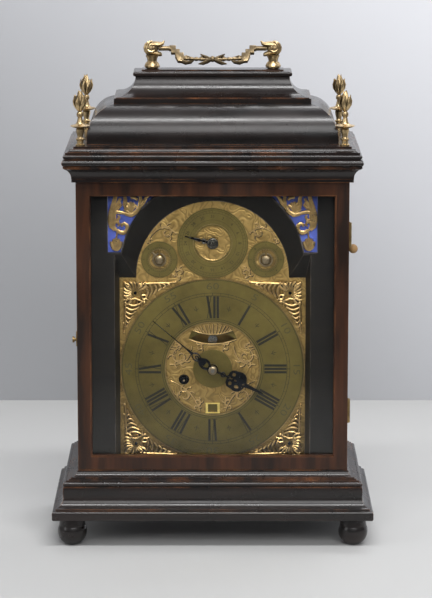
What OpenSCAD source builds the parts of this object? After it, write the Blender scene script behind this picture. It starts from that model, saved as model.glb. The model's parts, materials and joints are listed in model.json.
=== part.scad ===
// Table clock with an inverted-bell top, an arched brass dial and a two-train verge movement.
// +Z is up, the dial faces -Y, and the origin is on the ground at the middle of the clock's box.
// Heights are measured from the ground. Depths inside case_frame() run from the door's front face.

/* [Case] */
// Width of the case across its sides
case_w = 256; // [250:1:270]
// Depth of the case from the door's front face to the back
case_d = 140; // [136:1:160]
// Height of the front door and the case sides over the dial's width
door_rise = 99.5; // [92:0.5:112]
// Thickness of the case sides
side_t = 12; // [9:0.5:14]
// Thickness of the front door
door_t = 12; // [10:0.5:12.5]
// Width of the door's stiles and rails
stile_w = 13.5; // [11:0.5:16]
// Thickness of the panes
glass_t = 2; // [1.5:0.1:3]
// Width of each side window
side_light_w = 66; // [50:1:72]
// Height of each side window to the top of its arch
side_light_h = 190; // [150:5:210]

/* [Base and feet] */
// Height of the turned feet
foot_h = 27; // [24:0.5:32]
// Greatest diameter of the turned feet
foot_dia = 28; // [26:0.5:29]
// Height of the base moulding
base_h = 44; // [42:0.5:50]
// Projection of the base moulding past the case
base_out = 24.3; // [22:0.1:28]
// Thickness of the floor board
floor_t = 10; // [6:0.5:14]

/* [Top] */
// Height of the cornice
cornice_h = 33.5; // [32:0.5:38]
// Projection of the cornice past the case
cornice_out = 12.4; // [11.5:0.1:15]
// Distance of the lower bell tier inside the case line
tier_in = 10.2; // [9.8:0.2:13]
// Height of the lower bell tier
tier_h = 35.2; // [33:0.2:37]
// Radius of the lower tier's rounded shoulder
tier_r = 30; // [27:0.5:32]
// Height of the flat band over the lower tier
band_h = 5.1; // [4:0.1:7]
// Height of the hollow upper tier
hollow_h = 18.7; // [18.2:0.1:21]
// Radius of the upper tier's hollow
hollow_r = 18; // [16.5:0.1:18.2]
// Thickness of the top cap
cap_t = 5.8; // [5:0.1:8]

/* [Handle and finials] */
// Distance of each handle post from the middle
post_x = 57.5; // [50:0.5:62]
// Height of the handle's pivot over the cap
pivot_h = 19.2; // [18:0.1:24]
// Radius of the handle's pivots
pivot_r = 1.8; // [1.5:0.1:2.2]
// Drop from the handle's pivot to its bar
bail_drop = 14; // [12:0.5:15]
// Angle of the resting handle in front of straight down
bail_rest = 50; // [45:1:60]
// Height of a finial
finial_h = 52; // [48:1:58]
// Diameter of a finial's disc
finial_dia = 18.5; // [16:0.5:20]

/* [Dial] */
// Width of the square dial plate
dial_w = 178; // [176:1:180]
// Height of the dial plate's foot over the door opening's foot
dial_foot = 4; // [3:0.5:6]
// Radius of the arch over the dial
arch_r = 73; // [70:1:76]
// Thickness of the dial plate
plate_t = 2; // [1.5:0.1:2.2]
// Depth of the dial plate's face behind the door's face
dial_y = 28; // [27.5:0.5:29]
// Distance of the chapter ring from the dial plate's edge
ring_margin = 2.1; // [1.5:0.1:5]
// Inner radius of the chapter ring
ring_ri = 44.8; // [44:0.1:50]
// Thickness of the chapter ring
ring_t = 1.6; // [1:0.1:1.8]
// Length of the minute hand
minute_len = 75; // [65:0.5:80]
// Length of the hour hand
hour_len = 54; // [46:0.5:60]
// Radius of the alarm disc
alarm_r = 18.5; // [15:0.5:20]
// Radius of the winding holes in the dial
wind_hole_r = 5; // [4.5:0.1:5.5]

/* [Movement] */
// Width of the movement's plates
move_w = 124; // [124:1:132]
// Gap between the two plates
plate_gap = 47.5; // [47.5:0.5:50]
// Thickness of the movement's plates
brass_t = 2.5; // [2:0.1:3]
// Gap between the dial plate and the front plate
dial_gap = 10; // [10:0.5:11]
// Sideways distance of each winding arbor from the centre
wind_x = 27.5; // [27.5:0.1:28.5]
// Drop of the winding arbors under the centre
wind_drop = 10.9; // [10.5:0.1:12]
// Outer radius of the spring barrels
barrel_r = 24; // [20:0.5:24]
// Height of the verge over the dial's centre
verge_up = 79; // [78.5:0.1:80]
// Drop of the pendulum bob's middle under the verge
bob_drop = 122; // [110:1:130]
// Radius of the pendulum bob
bob_r = 16; // [12:0.5:18]
// Outer radius of the strike bell
bell_r = 36; // [32:0.5:37]
// Running clearance of an arbor in its hole
run_gap = 0.06; // [0.03:0.01:0.09]

/* [Hidden] */
$fn = 64;

wood_black = "#241c1a";
wood_red = "#3c2018";
brass = "#c7a45a";
gilt = "#d8b25c";
steel = "#30323a";
glass_tint = "#a8b4b6";
silk_blue = "#2b3fa8";

seat_gap = 0.3;
fit_gap = 0.2;
knob_out = 8;
front_y = base_out - (base_out + case_d + knob_out) / 2;

// Heights
door_h = dial_w + door_rise;
ring_ro = dial_w / 2 - ring_margin;
base_z = foot_h;
case_z = base_z + base_h;
top_z = case_z + door_h;
tier_z = top_z + cornice_h;
band_z = tier_z + tier_h;
hollow_z = band_z + band_h;
cap_z = hollow_z + hollow_h;
cap_top = cap_z + cap_t;
centre_z = case_z + dial_foot + dial_w / 2;
pivot_z = cap_top + pivot_h;

// Depths
case_y = door_t + seat_gap;
mask_y = case_y + 0.7;
mask_t = dial_y - seat_gap - mask_y;
front_plate_y = dial_y + plate_t + dial_gap;
gap_y = front_plate_y + brass_t;
back_plate_y = gap_y + plate_gap;
back_door_y = case_d - 12;
mid_y = case_d / 2;
inner_x = case_w / 2 - side_t;

module case_frame() {
    translate([0, front_y, 0])
        children();
}

// A flat shape drawn in x and z, standing between depths y and y + t
module slab(y, t) {
    translate([0, y + t, 0])
        rotate([90, 0, 0])
            linear_extrude(t)
                children();
}

// A round bar along the depth at (x, z)
module bar_y(x, z, y0, y1, r) {
    translate([x, y1, z])
        rotate([90, 0, 0])
            cylinder(h = y1 - y0, r = r);
}

// A round bar across the width at depth y and height z
module bar_x(x0, x1, y, z, r) {
    translate([x0, y, z])
        rotate([0, 90, 0])
            cylinder(h = x1 - x0, r = r);
}

module both_sides() {
    children();
    mirror([1, 0, 0])
        children();
}

// A straight strip with round ends between two points of a flat drawing
module strip(a, b, w) {
    d = b - a;
    translate(a)
        rotate(atan2(d[1], d[0]))
            translate([0, -w / 2])
                square([norm(d), w]);
    translate(a)
        circle(d = w, $fn = 24);
    translate(b)
        circle(d = w, $fn = 24);
}

// A block whose front and sides carry one moulding, mitred at the corners. The moulding is drawn
// as a flat shape whose x is the projection past the block, from the block's own lower edge.
module mitred_block(w, y0, y1, h, all_round = false) {
    reach = 60;
    intersection() {
        translate([0, y1 + reach, 0])
            rotate([90, 0, 0])
                linear_extrude(y1 - y0 + 2 * reach) {
                    translate([w / 2, 0])
                        children();
                    mirror([1, 0])
                        translate([w / 2, 0])
                            children();
                    translate([-w / 2, 0])
                        square([w, h]);
                }
        translate([-w / 2 - reach, 0, 0])
            rotate([90, 0, 90])
                linear_extrude(w + 2 * reach) {
                    translate([y0, 0])
                        mirror([1, 0])
                            children();
                    translate([y0, 0])
                        square([y1 - y0, h]);
                    if (all_round)
                        translate([y1, 0])
                            children();
                }
    }
}

// Case
foot_x = case_w / 2 + 6;
foot_ys = [-base_out + 20, case_d - 20];

module turned_foot() {
    ball_r = foot_dia / 2;
    flat_r = 5.4;
    mid = sqrt(ball_r * ball_r - flat_r * flat_r);
    neck = ball_r - 2.4;
    rotate_extrude() {
        intersection() {
            translate([0, mid])
                circle(r = ball_r);
            square([ball_r, 2 * ball_r]);
        }
        polygon([[0, mid], [ball_r - 1.2, mid + 5.5], [neck, foot_h], [0, foot_h]]);
    }
}

module ball_feet() {
    color(wood_black) case_frame()
        for (x = [-foot_x, foot_x], y = foot_ys)
            translate([x, y, 0])
                turned_foot();
}

// The base moulding from the ground up: a thumb-nosed plinth, a long hollow that turns into a
// slight swell, a bead, three small steps and a last hollow up to the case
module base_profile() {
    plinth_h = 9.3;
    nose = 2.2;
    neck = base_out - 10.6;
    hollow = 10;
    hollow_z = 20.6;
    swell = 25;
    swell_z = 25.8;
    quirk_z = 30.4;
    bead = 2.2;
    steps = [[13.7, 36.6], [15.7, 37.6], [17.5, 38.8]];
    last = 6;
    square([base_out - nose, plinth_h]);
    translate([0, nose])
        square([base_out, plinth_h - 2 * nose]);
    for (z = [nose, plinth_h - nose])
        translate([base_out - nose, z])
            circle(r = nose);
    difference() {
        square([base_out - 3.4, hollow_z]);
        translate([neck + hollow, hollow_z])
            circle(r = hollow);
    }
    square([neck, quirk_z]);
    intersection() {
        translate([0, hollow_z])
            square([neck + 1, quirk_z - hollow_z]);
        translate([neck + 0.5 - swell, swell_z])
            circle(r = swell, $fn = 200);
    }
    square([neck - 1.2, quirk_z + 2 * bead]);
    translate([neck + 0.3 - bead, quirk_z + 0.6 + bead])
        circle(r = bead);
    for (step = steps)
        square([base_out - step[0], step[1]]);
    difference() {
        square([base_out - 17.5, base_h]);
        translate([last + 0.8, base_h])
            circle(r = last);
    }
}

module base_moulding() {
    color(wood_black) case_frame()
        difference() {
            translate([0, 0, base_z])
                mitred_block(case_w, 0, case_d, base_h)
                    base_profile();
            translate([-inner_x, side_t, base_z - 1])
                cube([2 * inner_x, case_d - 2 * side_t, base_h + 2]);
        }
}

module base_floor() {
    color(wood_red) case_frame()
        translate([-inner_x + fit_gap, side_t + fit_gap, case_z - floor_t])
            cube([2 * (inner_x - fit_gap), case_d - 2 * (side_t + fit_gap), floor_t]);
}

light_z = case_z + 34;
light_y = (case_y + back_door_y) / 2 + 6;
light_lap = 4;

// Outline of a side window, drawn with its foot at the origin
module arched_light(grow) {
    r = side_light_w / 2 + grow;
    translate([-r, -grow])
        square([2 * r, side_light_h - side_light_w / 2 + grow]);
    translate([0, side_light_h - side_light_w / 2])
        circle(r = r);
}

// Places a flat shape in the side wall, between two distances from the middle
module side_slab(x0, x1) {
    translate([x0, light_y, light_z])
        rotate([90, 0, 90])
            linear_extrude(x1 - x0)
                children();
}

pull_y = front_plate_y - 5;
pull_z = centre_z + 115;
cord_r = 0.9;
hinge_r = 2.3;
hinge_x = case_w / 2 + 0.6;
hinge_y = door_t + seat_gap / 2;
hinge_len = 23;
hinge_zs = [case_z + 44, top_z - 40.5 - hinge_len];
knuckle = hinge_len / 3;
back_axis_x = inner_x;
back_axis_y = case_d + 1.6;

// Room in the wood for the hinge knuckles
module hinge_clearance() {
    for (z = hinge_zs)
        translate([hinge_x, hinge_y, z - 0.8])
            cylinder(h = hinge_len + 1.6, r = hinge_r + 0.4);
}

module side_wall() {
    difference() {
        translate([inner_x, case_y, case_z])
            cube([side_t, case_d - case_y, door_h]);
        side_slab(inner_x - 1, case_w / 2 + 1)
            arched_light(0);
        side_slab(inner_x - 1, inner_x + glass_t + fit_gap)
            arched_light(light_lap);
    }
}

module case_side_left() {
    color(wood_black) case_frame()
        mirror([1, 0, 0])
            side_wall();
}

module case_side_right() {
    color(wood_black) case_frame()
        difference() {
            side_wall();
            hinge_clearance();
            front_leaf_recess();
            bar_x(inner_x - 1, case_w / 2 + 1, pull_y, pull_z, cord_r + 1.4);
        }
}

module side_windows() {
    color(glass_tint, 0.4) case_frame() both_sides()
        side_slab(inner_x, inner_x + glass_t)
            arched_light(light_lap - fit_gap);
}

board_in = side_t + 2;
board_t = 12;
module top_board() {
    color(wood_red) case_frame()
        translate([-case_w / 2 + board_in + fit_gap, board_in + fit_gap, top_z + 0.5])
            cube([case_w - 2 * (board_in + fit_gap), case_d - 2 * (board_in + fit_gap), board_t]);
}

// The cornice from the door up: a flat, a hollow, the nose and a smaller bead, then small steps
module cornice_profile() {
    flat_h = 3;
    hollow = 10.5;
    hollow_top = 14;
    nose = 3.1;
    nose_z = 18.8;
    bead = 1.7;
    bead_z = 24.8;
    square([cornice_out - 8.8, flat_h]);
    difference() {
        square([cornice_out - 2, hollow_top]);
        translate([cornice_out + 1.9, flat_h + 0.6])
            circle(r = hollow);
        square([cornice_out, flat_h]);
    }
    translate([0, hollow_top])
        square([cornice_out - 1.2, 1.7]);
    translate([0, hollow_top])
        square([cornice_out - nose, nose_z + nose - hollow_top]);
    translate([cornice_out - nose, nose_z])
        circle(r = nose);
    translate([0, nose_z])
        square([cornice_out - 2.6, bead_z + bead - nose_z]);
    translate([cornice_out - 1.3 - bead, bead_z])
        circle(r = bead);
    translate([0, bead_z])
        square([cornice_out - 3.4, 3.8]);
    difference() {
        translate([0, bead_z])
            square([cornice_out - 5.4, cornice_h - 2 - bead_z]);
        translate([cornice_out - 4.4, cornice_h - 1.5])
            circle(r = 3.2);
    }
    square([1.6, cornice_h]);
}

module cornice() {
    color(wood_black) case_frame()
        difference() {
            translate([0, 0, top_z])
                mitred_block(case_w, 0, case_d, cornice_h)
                    cornice_profile();
            translate([-case_w / 2 + board_in, board_in, top_z - 1])
                cube([case_w - 2 * board_in, case_d - 2 * board_in, board_t + 1.7]);
        }
}

// The tiers step inwards alike on all four sides
band_in = tier_in + tier_r - 5.1;
hollow_in = band_in + 1.9;
cap_in = hollow_in + hollow_r - 2.2;

module tier_block(inset, h) {
    mitred_block(case_w - 2 * inset, inset, case_d - inset, h, all_round = true)
        children();
}

module bell_tier_lower() {
    arc_z = tier_h + 0.4 - tier_r;
    color(wood_black) case_frame()
        translate([0, 0, tier_z])
            tier_block(tier_in + tier_r, tier_h)
                intersection() {
                    union() {
                        square([tier_r, arc_z]);
                        translate([0, arc_z])
                            circle(r = tier_r, $fn = 120);
                    }
                    square([tier_r, tier_h]);
                }
}

module bell_tier_upper() {
    color(wood_black) case_frame() {
        translate([-case_w / 2 + band_in, band_in, band_z])
            cube([case_w - 2 * band_in, case_d - 2 * band_in, band_h]);
        translate([0, 0, hollow_z])
            tier_block(hollow_in + hollow_r, hollow_h)
                difference() {
                    square([hollow_r, hollow_h]);
                    translate([hollow_r, hollow_h])
                        circle(r = hollow_r, $fn = 96);
                }
    }
}

module top_cap() {
    nose = 1.8;
    step = 8;
    rise = 1.2;
    edge_h = cap_t - rise;
    color(wood_black) case_frame()
        translate([0, 0, cap_z]) {
            tier_block(cap_in + nose, edge_h)
                union() {
                    translate([0, nose])
                        square([nose, edge_h - 2 * nose]);
                    for (z = [nose, edge_h - nose])
                        translate([0, z])
                            circle(r = nose);
                }
            translate([-case_w / 2 + cap_in + step, cap_in + step, 0])
                cube([case_w - 2 * (cap_in + step), case_d - 2 * (cap_in + step), cap_t]);
        }
}

finial_x = case_w / 2 - 4.6;
finial_ys = [4.6, case_d - 4.6];

module finial() {
    disc_z = 18.2;
    ball_z = 29.5;
    flame_z = 33;
    rotate_extrude() {
        square([4.2, 1.6]);
        translate([0, 1.6])
            square([3.0, 4]);
        translate([0, 5.4])
            square([3.8, 1.4]);
        polygon([[0, 6.8], [2.1, 6.8], [2.9, disc_z - 2.4], [0, disc_z - 2.4]]);
        polygon([
            [0, disc_z - 2.4], [3.6, disc_z - 2.4], [finial_dia / 2, disc_z],
            [finial_dia / 2, disc_z + 0.9], [3.4, disc_z + 2], [0, disc_z + 2]
        ]);
        polygon([[0, disc_z + 2], [3.2, disc_z + 2], [1.7, ball_z - 2], [0, ball_z - 2]]);
        intersection() {
            translate([0, ball_z])
                circle(r = 3);
            translate([0, ball_z - 3])
                square([3, 6]);
        }
        polygon([
            [0, ball_z + 2], [1.9, flame_z], [4.7, flame_z + 4], [6.2, flame_z + 8],
            [4.4, flame_z + 13], [1.6, finial_h - 1.4], [0, finial_h]
        ]);
    }
}

module finials() {
    color(gilt) case_frame()
        for (x = [-finial_x, finial_x], y = finial_ys)
            translate([x, y, tier_z])
                finial();
}

stub_len = 6;
head_in = 6;

module handle_post() {
    head_r = 8;
    rotate_extrude() {
        polygon([[0, 0], [4.6, 0], [6.6, 2], [6.6, 4], [4, 6.4], [3.6, 9], [4.2, pivot_h - 6], [0, pivot_h - 6]]);
    }
    translate([0, 0, pivot_h])
        sphere(r = head_r);
    translate([-head_in - 4.6, 0, pivot_h])
        rotate([0, 90, 0])
            cylinder(h = 7, r = 4.6);
    translate([-head_in - 4.6, 0, pivot_h + 4])
        rotate([0, 60, 0])
            cylinder(h = 6, r = 2.4);
}

module handle_posts() {
    color(gilt) case_frame() both_sides()
        difference() {
            translate([post_x, mid_y, cap_top])
                handle_post();
            bar_x(0, post_x - head_in + 0.5, mid_y, pivot_z, pivot_r + run_gap);
        }
}

// The handle is drawn hanging straight down from its pivot and then swung forwards to rest
module bail_handle() {
    stub_x = post_x - head_in;
    knee_x = stub_x - 12;
    knee_t = 3.4;
    foot = -bail_drop;
    bar_r = 2;
    color(gilt) case_frame()
        translate([0, mid_y, pivot_z])
            rotate([-bail_rest, 0, 0]) {
                both_sides() {
                    bar_x(knee_x, stub_x, 0, 0, pivot_r);
                    slab(-knee_t / 2, knee_t)
                        translate([knee_x, 0])
                            polygon([
                                [2, 2.2], [-4.4, 2.2], [-4.4, -2.6], [-8.2, -2.6], [-8.2, -7], [-12, -7],
                                [-12, foot + 2.6], [-20, foot + 2], [-23, foot - 1], [-18, foot - 2],
                                [-12, foot - 4], [-6.5, foot - 3], [-3.8, -11], [-3.8, -6.8], [0, -6.8],
                                [0, -2.2], [2, -2.2]
                            ]);
                    slab(-1.3, 2.6) {
                        polygon([[-1, foot], [4, foot + 1], [12.5, foot - 5], [11, foot - 7], [5, foot - 4]]);
                        polygon([[-1, foot], [4, foot - 1], [8, foot + 1.4], [11, foot + 3.6], [8.4, foot + 4.8]]);
                    }
                }
                bar_x(-knee_x + 10, knee_x - 10, 0, foot, bar_r);
                translate([0, 0, foot])
                    sphere(r = 3.4);
            }
}

// Front door
door_x = case_w / 2;
door_z0 = case_z + 0.5;
door_z1 = top_z - 0.5;
pane_y = 7;
pane_lap = 2.6;

module frame_outline(x, z0, z1, w) {
    difference() {
        translate([-x, z0])
            square([2 * x, z1 - z0]);
        translate([-x + w, z0 + w])
            square([2 * (x - w), z1 - z0 - 2 * w]);
    }
}

// Recesses for the two front hinges' leaves, in the door's back and the side's front edge
leaf_w = 11;
leaf_t = 1.2;
module front_leaf_recess() {
    for (z = hinge_zs)
        translate([hinge_x - leaf_w - 0.1, hinge_y - leaf_t - seat_gap / 2 - 0.05, z - 0.1])
            cube([leaf_w + 1, 2 * leaf_t + seat_gap + 0.1, hinge_len + 0.2]);
}

module front_door_frame() {
    color(wood_red) case_frame()
        difference() {
            union() {
                slab(0, pane_y)
                    frame_outline(door_x, door_z0, door_z1, stile_w - 1);
                slab(1.5, pane_y - 1.5)
                    frame_outline(door_x, door_z0, door_z1, stile_w);
                slab(pane_y, door_t - pane_y)
                    frame_outline(door_x, door_z0, door_z1, stile_w - pane_lap);
            }
            hinge_clearance();
            front_leaf_recess();
        }
}

module front_door_glass() {
    in = stile_w - pane_lap + fit_gap;
    color(glass_tint, 0.4) case_frame()
        translate([-door_x + in, pane_y + 0.05, door_z0 + in])
            cube([2 * (door_x - in), glass_t, door_z1 - door_z0 - 2 * in]);
}

// One leaf of a hinge with its knuckles, standing on its axis. side is -1 for the door's
// leaf and 1 for the case's, which lies behind it.
module hinge_leaf(side, pin_hole) {
    gap = 0.15;
    y0 = side > 0 ? seat_gap / 2 : -seat_gap / 2 - leaf_t;
    turning = side < 0;
    difference() {
        union() {
            translate([-leaf_w, y0, 0])
                cube([leaf_w, leaf_t, hinge_len]);
            for (i = turning ? [1] : [0, 2])
                translate([0, 0, i * knuckle + (i == 0 ? 0 : gap)])
                    cylinder(h = knuckle - (i == 1 ? 2 : 1) * gap, r = hinge_r);
        }
        for (i = turning ? [0, 2] : [1])
            translate([0, 0, i * knuckle - gap])
                cylinder(h = knuckle + 2 * gap, r = hinge_r + 0.3);
        translate([0, 0, -1])
            cylinder(h = hinge_len + 2, r = pin_hole);
    }
}

pin_r = 0.9;
catch_z = centre_z + 33;
module front_door_fittings() {
    color(brass) case_frame() {
        for (z = hinge_zs)
            translate([hinge_x, hinge_y, z])
                hinge_leaf(-1, pin_r + run_gap);
        translate([-door_x, door_t / 2, catch_z]) {
            translate([-1, -3.4, -6])
                cube([1, 6.8, 14]);
            rotate([0, -90, 0])
                cylinder(h = 2.6, r = 1.5);
            translate([-2.6, 0, 0])
                rotate([0, -90, 0])
                    cylinder(h = 1.9, r = 2.9);
        }
    }
}

// Back door, hung on its left edge as seen from behind
back_x = inner_x - 0.5;
back_z0 = case_z + 0.5;
back_z1 = top_z - 0.5;
back_stile = 22;
back_t = case_d - back_door_y;
back_hinge_zs = [case_z + 40, top_z - 40 - hinge_len];

module back_door_frame() {
    color(wood_black) case_frame()
        difference() {
            slab(back_door_y, back_t)
                frame_outline(back_x, back_z0, back_z1, back_stile);
            slab(back_door_y - 1, glass_t + fit_gap + 1)
                translate([-back_x + back_stile - light_lap, back_z0 + back_stile - light_lap])
                    square([
                        2 * (back_x - back_stile + light_lap),
                        back_z1 - back_z0 - 2 * (back_stile - light_lap)
                    ]);
            bar_y(-back_x + back_stile / 2, centre_z, back_door_y - 1, case_d + 1, 2.4);
        }
}

module back_door_glass() {
    in = back_stile - light_lap + fit_gap;
    color(glass_tint, 0.4) case_frame()
        translate([-back_x + in, back_door_y, back_z0 + in])
            cube([2 * (back_x - in), glass_t, back_z1 - back_z0 - 2 * in]);
}

// One leaf of a back hinge, flat on the back, with its knuckles
module back_leaf(side) {
    gap = 0.15;
    lift = 1.6;
    difference() {
        union() {
            translate([side < 0 ? -leaf_w : 0.2, -lift + 0.05, 0])
                cube([leaf_w - 0.2, leaf_t, hinge_len]);
            for (i = side < 0 ? [1] : [0, 2])
                translate([0, 0, i * knuckle + (i == 0 ? 0 : gap)])
                    cylinder(h = knuckle - (i == 1 ? 2 : 1) * gap, r = hinge_r - 0.8);
        }
        for (i = side < 0 ? [0, 2] : [1])
            translate([0, 0, i * knuckle - gap])
                cylinder(h = knuckle + 2 * gap, r = hinge_r - 0.5);
        translate([0, 0, -1])
            cylinder(h = hinge_len + 2, r = pin_r - 0.2 + (side < 0 ? run_gap : 0));
    }
}

module back_door_fittings() {
    color(brass) case_frame() {
        for (z = back_hinge_zs)
            translate([back_axis_x, back_axis_y, z])
                back_leaf(-1);
        translate([-back_x + back_stile / 2, case_d, centre_z])
            rotate([-90, 0, 0])
                rotate_extrude()
                    polygon([
                        [0, -8], [2.2, -8], [2.2, 0], [4.5, 0], [4.5, 1], [2, 1.6],
                        [2, 3.4], [4.2, 5], [4.2, 7], [2.6, knob_out], [0, knob_out]
                    ]);
    }
}

module hinge_leaves_and_pins() {
    color(brass) case_frame() {
        for (z = hinge_zs)
            translate([hinge_x, hinge_y, z]) {
                hinge_leaf(1, pin_r);
                translate([0, 0, -0.6])
                    cylinder(h = hinge_len + 1.2, r = pin_r);
            }
        for (z = back_hinge_zs)
            translate([back_axis_x, back_axis_y, z]) {
                back_leaf(1);
                translate([0, 0, -0.6])
                    cylinder(h = hinge_len + 1.2, r = pin_r - 0.2);
            }
        difference() {
            bar_x(inner_x - 1, case_w / 2 + 0.9, pull_y, pull_z, cord_r + 1.35);
            bar_x(inner_x - 2, case_w / 2 + 2, pull_y, pull_z, cord_r + 0.3);
        }
    }
}

// Mask: the black board that frames the dial, with splayed edges and two silk-backed windows
mask_splay = 4.1;
mask_arc_r = dial_w / 2 - 2.3;
mask_open_x = mask_arc_r + 5.9;
mask_arc_z = centre_z + dial_w / 2 + 11;
shoulder_z = centre_z + dial_w / 2 + 0.5;
window_x = mask_open_x + 6.2;
window_z = mask_arc_z + 15;
window_top = top_z - 11;
arc_lip = 1;

module mask_opening() {
    y0 = mask_y - 0.01;
    y1 = mask_y + mask_t + 0.01;
    back_x_half = mask_open_x - mask_splay;
    intersection() {
        translate([0, 0, centre_z - dial_w / 2 + 1])
            linear_extrude(dial_w + 24)
                polygon([[-mask_open_x, y0], [mask_open_x, y0], [back_x_half, y1], [-back_x_half, y1]]);
        translate([-mask_open_x - 1, 0, 0])
            rotate([90, 0, 90])
                linear_extrude(2 * mask_open_x + 2)
                    polygon([[y0, 0], [y1, 0], [y1, shoulder_z - 1], [y0, window_z - 2]]);
    }
    hull() {
        bar_y(0, mask_arc_z, y0 - 0.01, y0, mask_arc_r, $fn = 72);
        bar_y(0, shoulder_z, y1, y1 + 0.01, arch_r - 0.5, $fn = 72);
    }
}

module window_outline(gap) {
    difference() {
        translate([30, window_z + gap])
            square([window_x - 30 - gap, window_top - window_z - 2 * gap]);
        translate([0, mask_arc_z])
            circle(r = mask_arc_r + arc_lip + gap, $fn = 96);
    }
}

module dial_mask() {
    color(wood_black) case_frame()
        difference() {
            slab(mask_y, mask_t)
                translate([-inner_x + seat_gap, case_z + 0.3])
                    square([2 * (inner_x - seat_gap), door_h - 0.6]);
            mask_opening();
            both_sides()
                slab(mask_y - 1, mask_t + 2)
                    window_outline(0);
        }
}

module mask_silk() {
    color(silk_blue) case_frame() both_sides()
        slab(mask_y + 2.4, 3)
            window_outline(fit_gap);
}

// A ring of wire, drawn flat
module ring_2d(r, w) {
    difference() {
        circle(r = r + w / 2, $fn = 32);
        circle(r = r - w / 2, $fn = 32);
    }
}

// The pierced gilt scrolls that cover each silk window, drawn from its lower outer corner:
// a tulip at the foot, a stem, a long leaf up the outer edge and scrolls that follow the arc
module fret_outline() {
    tulip = [[6.4, 1], [2.6, 5.5], [2.4, 11], [5.2, 9.2], [6.6, 13.6], [9, 13.6], [10.4, 9.2],
        [13.2, 11], [13, 5.5], [9.2, 1]];
    leaf = [[6.5, 21.6], [1.5, 28.5], [0.8, 40], [3, 58.2], [10, 58.2], [6.5, 48], [5.6, 38], [7.6, 29]];
    horn = [[21.6, 35], [28.9, 40.6], [31, 43], [31.8, 58.2], [29.6, 58.2], [28.9, 44], [20.8, 37.3]];
    for (shape = [tulip, leaf, horn])
        polygon(shape);
    strip([7.8, 12], [8.9, 21], 1.9);
    strip([4, 37.2], [17, 38.9], 2.2);
    strip([17, 46], [15.4, 58.4], 2.1);
    for (scroll = [[8, 25.6, 3.4, 1.8], [14, 23.6, 4.6, 1.9], [15.6, 22.4, 2, 1.4],
        [21.6, 42.4, 6, 2.2], [22.8, 40.8, 2.6, 1.6]])
        translate([scroll[0], scroll[1]])
            ring_2d(scroll[2], scroll[3]);
}

module mask_frets() {
    color(gilt) case_frame() both_sides()
        slab(mask_y + 0.5, 1.6)
            intersection() {
                window_outline(fit_gap);
                translate([window_x, window_z])
                    mirror([1, 0])
                        fret_outline();
            }
}

// Dial
top_dial_up = dial_w / 2 + 32.7;
small_dial = [50.5, dial_w / 2 + 17];
top_ring = [33.6, 16.9];
small_ring = [17.3, 9.5];
sub_t = 1;
date_ri = 35.5;
date_ro = 45.5;
date_t = 1;
date_y = dial_y + plate_t + 0.4;
stud_r = 1.4;
foot_pts = [[-50, -61], [50, -61], [-50, 61], [50, 61]];

module at_centre() {
    translate([0, 0, centre_z])
        children();
}

// The smile-shaped opening over the centre, behind which the mock bob swings
module mock_aperture() {
    swing = 25;
    inner = verge_up - 32.6;
    outer = verge_up - 24.3;
    difference() {
        translate([0, verge_up])
            circle(r = outer);
        translate([0, verge_up])
            circle(r = inner);
        for (s = [-1, 1])
            translate([0, verge_up])
                rotate(s * swing)
                    translate([s > 0 ? 0 : -100, -100])
                        square([100, 200]);
    }
}

module dial_outline() {
    half = dial_w / 2;
    translate([-half, -half])
        square([dial_w, dial_w]);
    translate([0, half])
        circle(r = arch_r, $fn = 96);
}

module dial_plate() {
    color(brass) case_frame() at_centre() {
        slab(dial_y, plate_t)
            difference() {
                dial_outline();
                circle(r = 5.6);
                for (s = [-1, 1])
                    translate([s * wind_x, -wind_drop])
                        circle(r = wind_hole_r);
                mock_aperture();
                translate([-4.4, -42.5])
                    square([8.8, 7.6]);
                translate([0, top_dial_up])
                    circle(r = stud_r + run_gap);
                for (s = [-1, 1])
                    translate([s * small_dial[0], small_dial[1]])
                        circle(r = stud_r + run_gap);
            }
        for (p = foot_pts)
            bar_y(p[0], p[1], dial_y + plate_t, front_plate_y, 2.6);
        for (a = [30, 150, 250]) {
            r = date_ri - 0.2 - 1.5;
            bar_y(r * cos(a), r * sin(a), dial_y + plate_t, date_y + date_t + 0.3, 1.5);
            bar_y(r * cos(a), r * sin(a), date_y + date_t + 0.3, date_y + date_t + 1.1, 2.6);
        }
    }
}

module flat_ring(ro, ri) {
    difference() {
        circle(r = ro, $fn = 96);
        circle(r = ri, $fn = 96);
    }
}

module chapter_ring() {
    color(brass) case_frame() at_centre()
        slab(dial_y - ring_t, ring_t)
            flat_ring(ring_ro, ring_ri);
}

module subsidiary_rings() {
    color(brass) case_frame() at_centre()
        slab(dial_y - sub_t, sub_t) {
            translate([0, top_dial_up])
                flat_ring(top_ring[0], top_ring[1]);
            for (s = [-1, 1])
                translate([s * small_dial[0], small_dial[1]])
                    flat_ring(small_ring[0], small_ring[1]);
        }
}

// One cast corner mount: leafy lobes round a middle scroll, kept inside the plate and off the ring
module spandrel() {
    half = dial_w / 2;
    intersection() {
        union() {
            for (i = [0 : 4])
                translate([half - 8 - 6.6 * i, half - 7])
                    circle(r = 5.4 - 0.5 * i);
            for (i = [1 : 4])
                translate([half - 7, half - 8 - 6.6 * i])
                    circle(r = 5.4 - 0.5 * i);
            translate([half - 17, half - 17])
                circle(r = 10.5);
            strip([half - 8, half - 8], [half - 22, half - 22], 9);
        }
        difference() {
            translate([half - 46, half - 46])
                square([45, 45]);
            circle(r = ring_ro + 1, $fn = 96);
        }
    }
}

module corner_spandrels() {
    half = dial_w / 2;
    color(gilt) case_frame() at_centre()
        for (sx = [0, 1], sz = [0, 1])
            mirror([sx, 0, 0])
                mirror([0, 0, sz]) {
                    slab(dial_y - 1.6, 1.6)
                        spandrel();
                    for (p = [[-10, -10, 4.2], [-20, -7.4, 2.8], [-7.4, -20, 2.8]])
                        bar_y(half + p[0], half + p[1], dial_y - 2.8, dial_y - 1.6, p[2]);
                }
}

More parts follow.
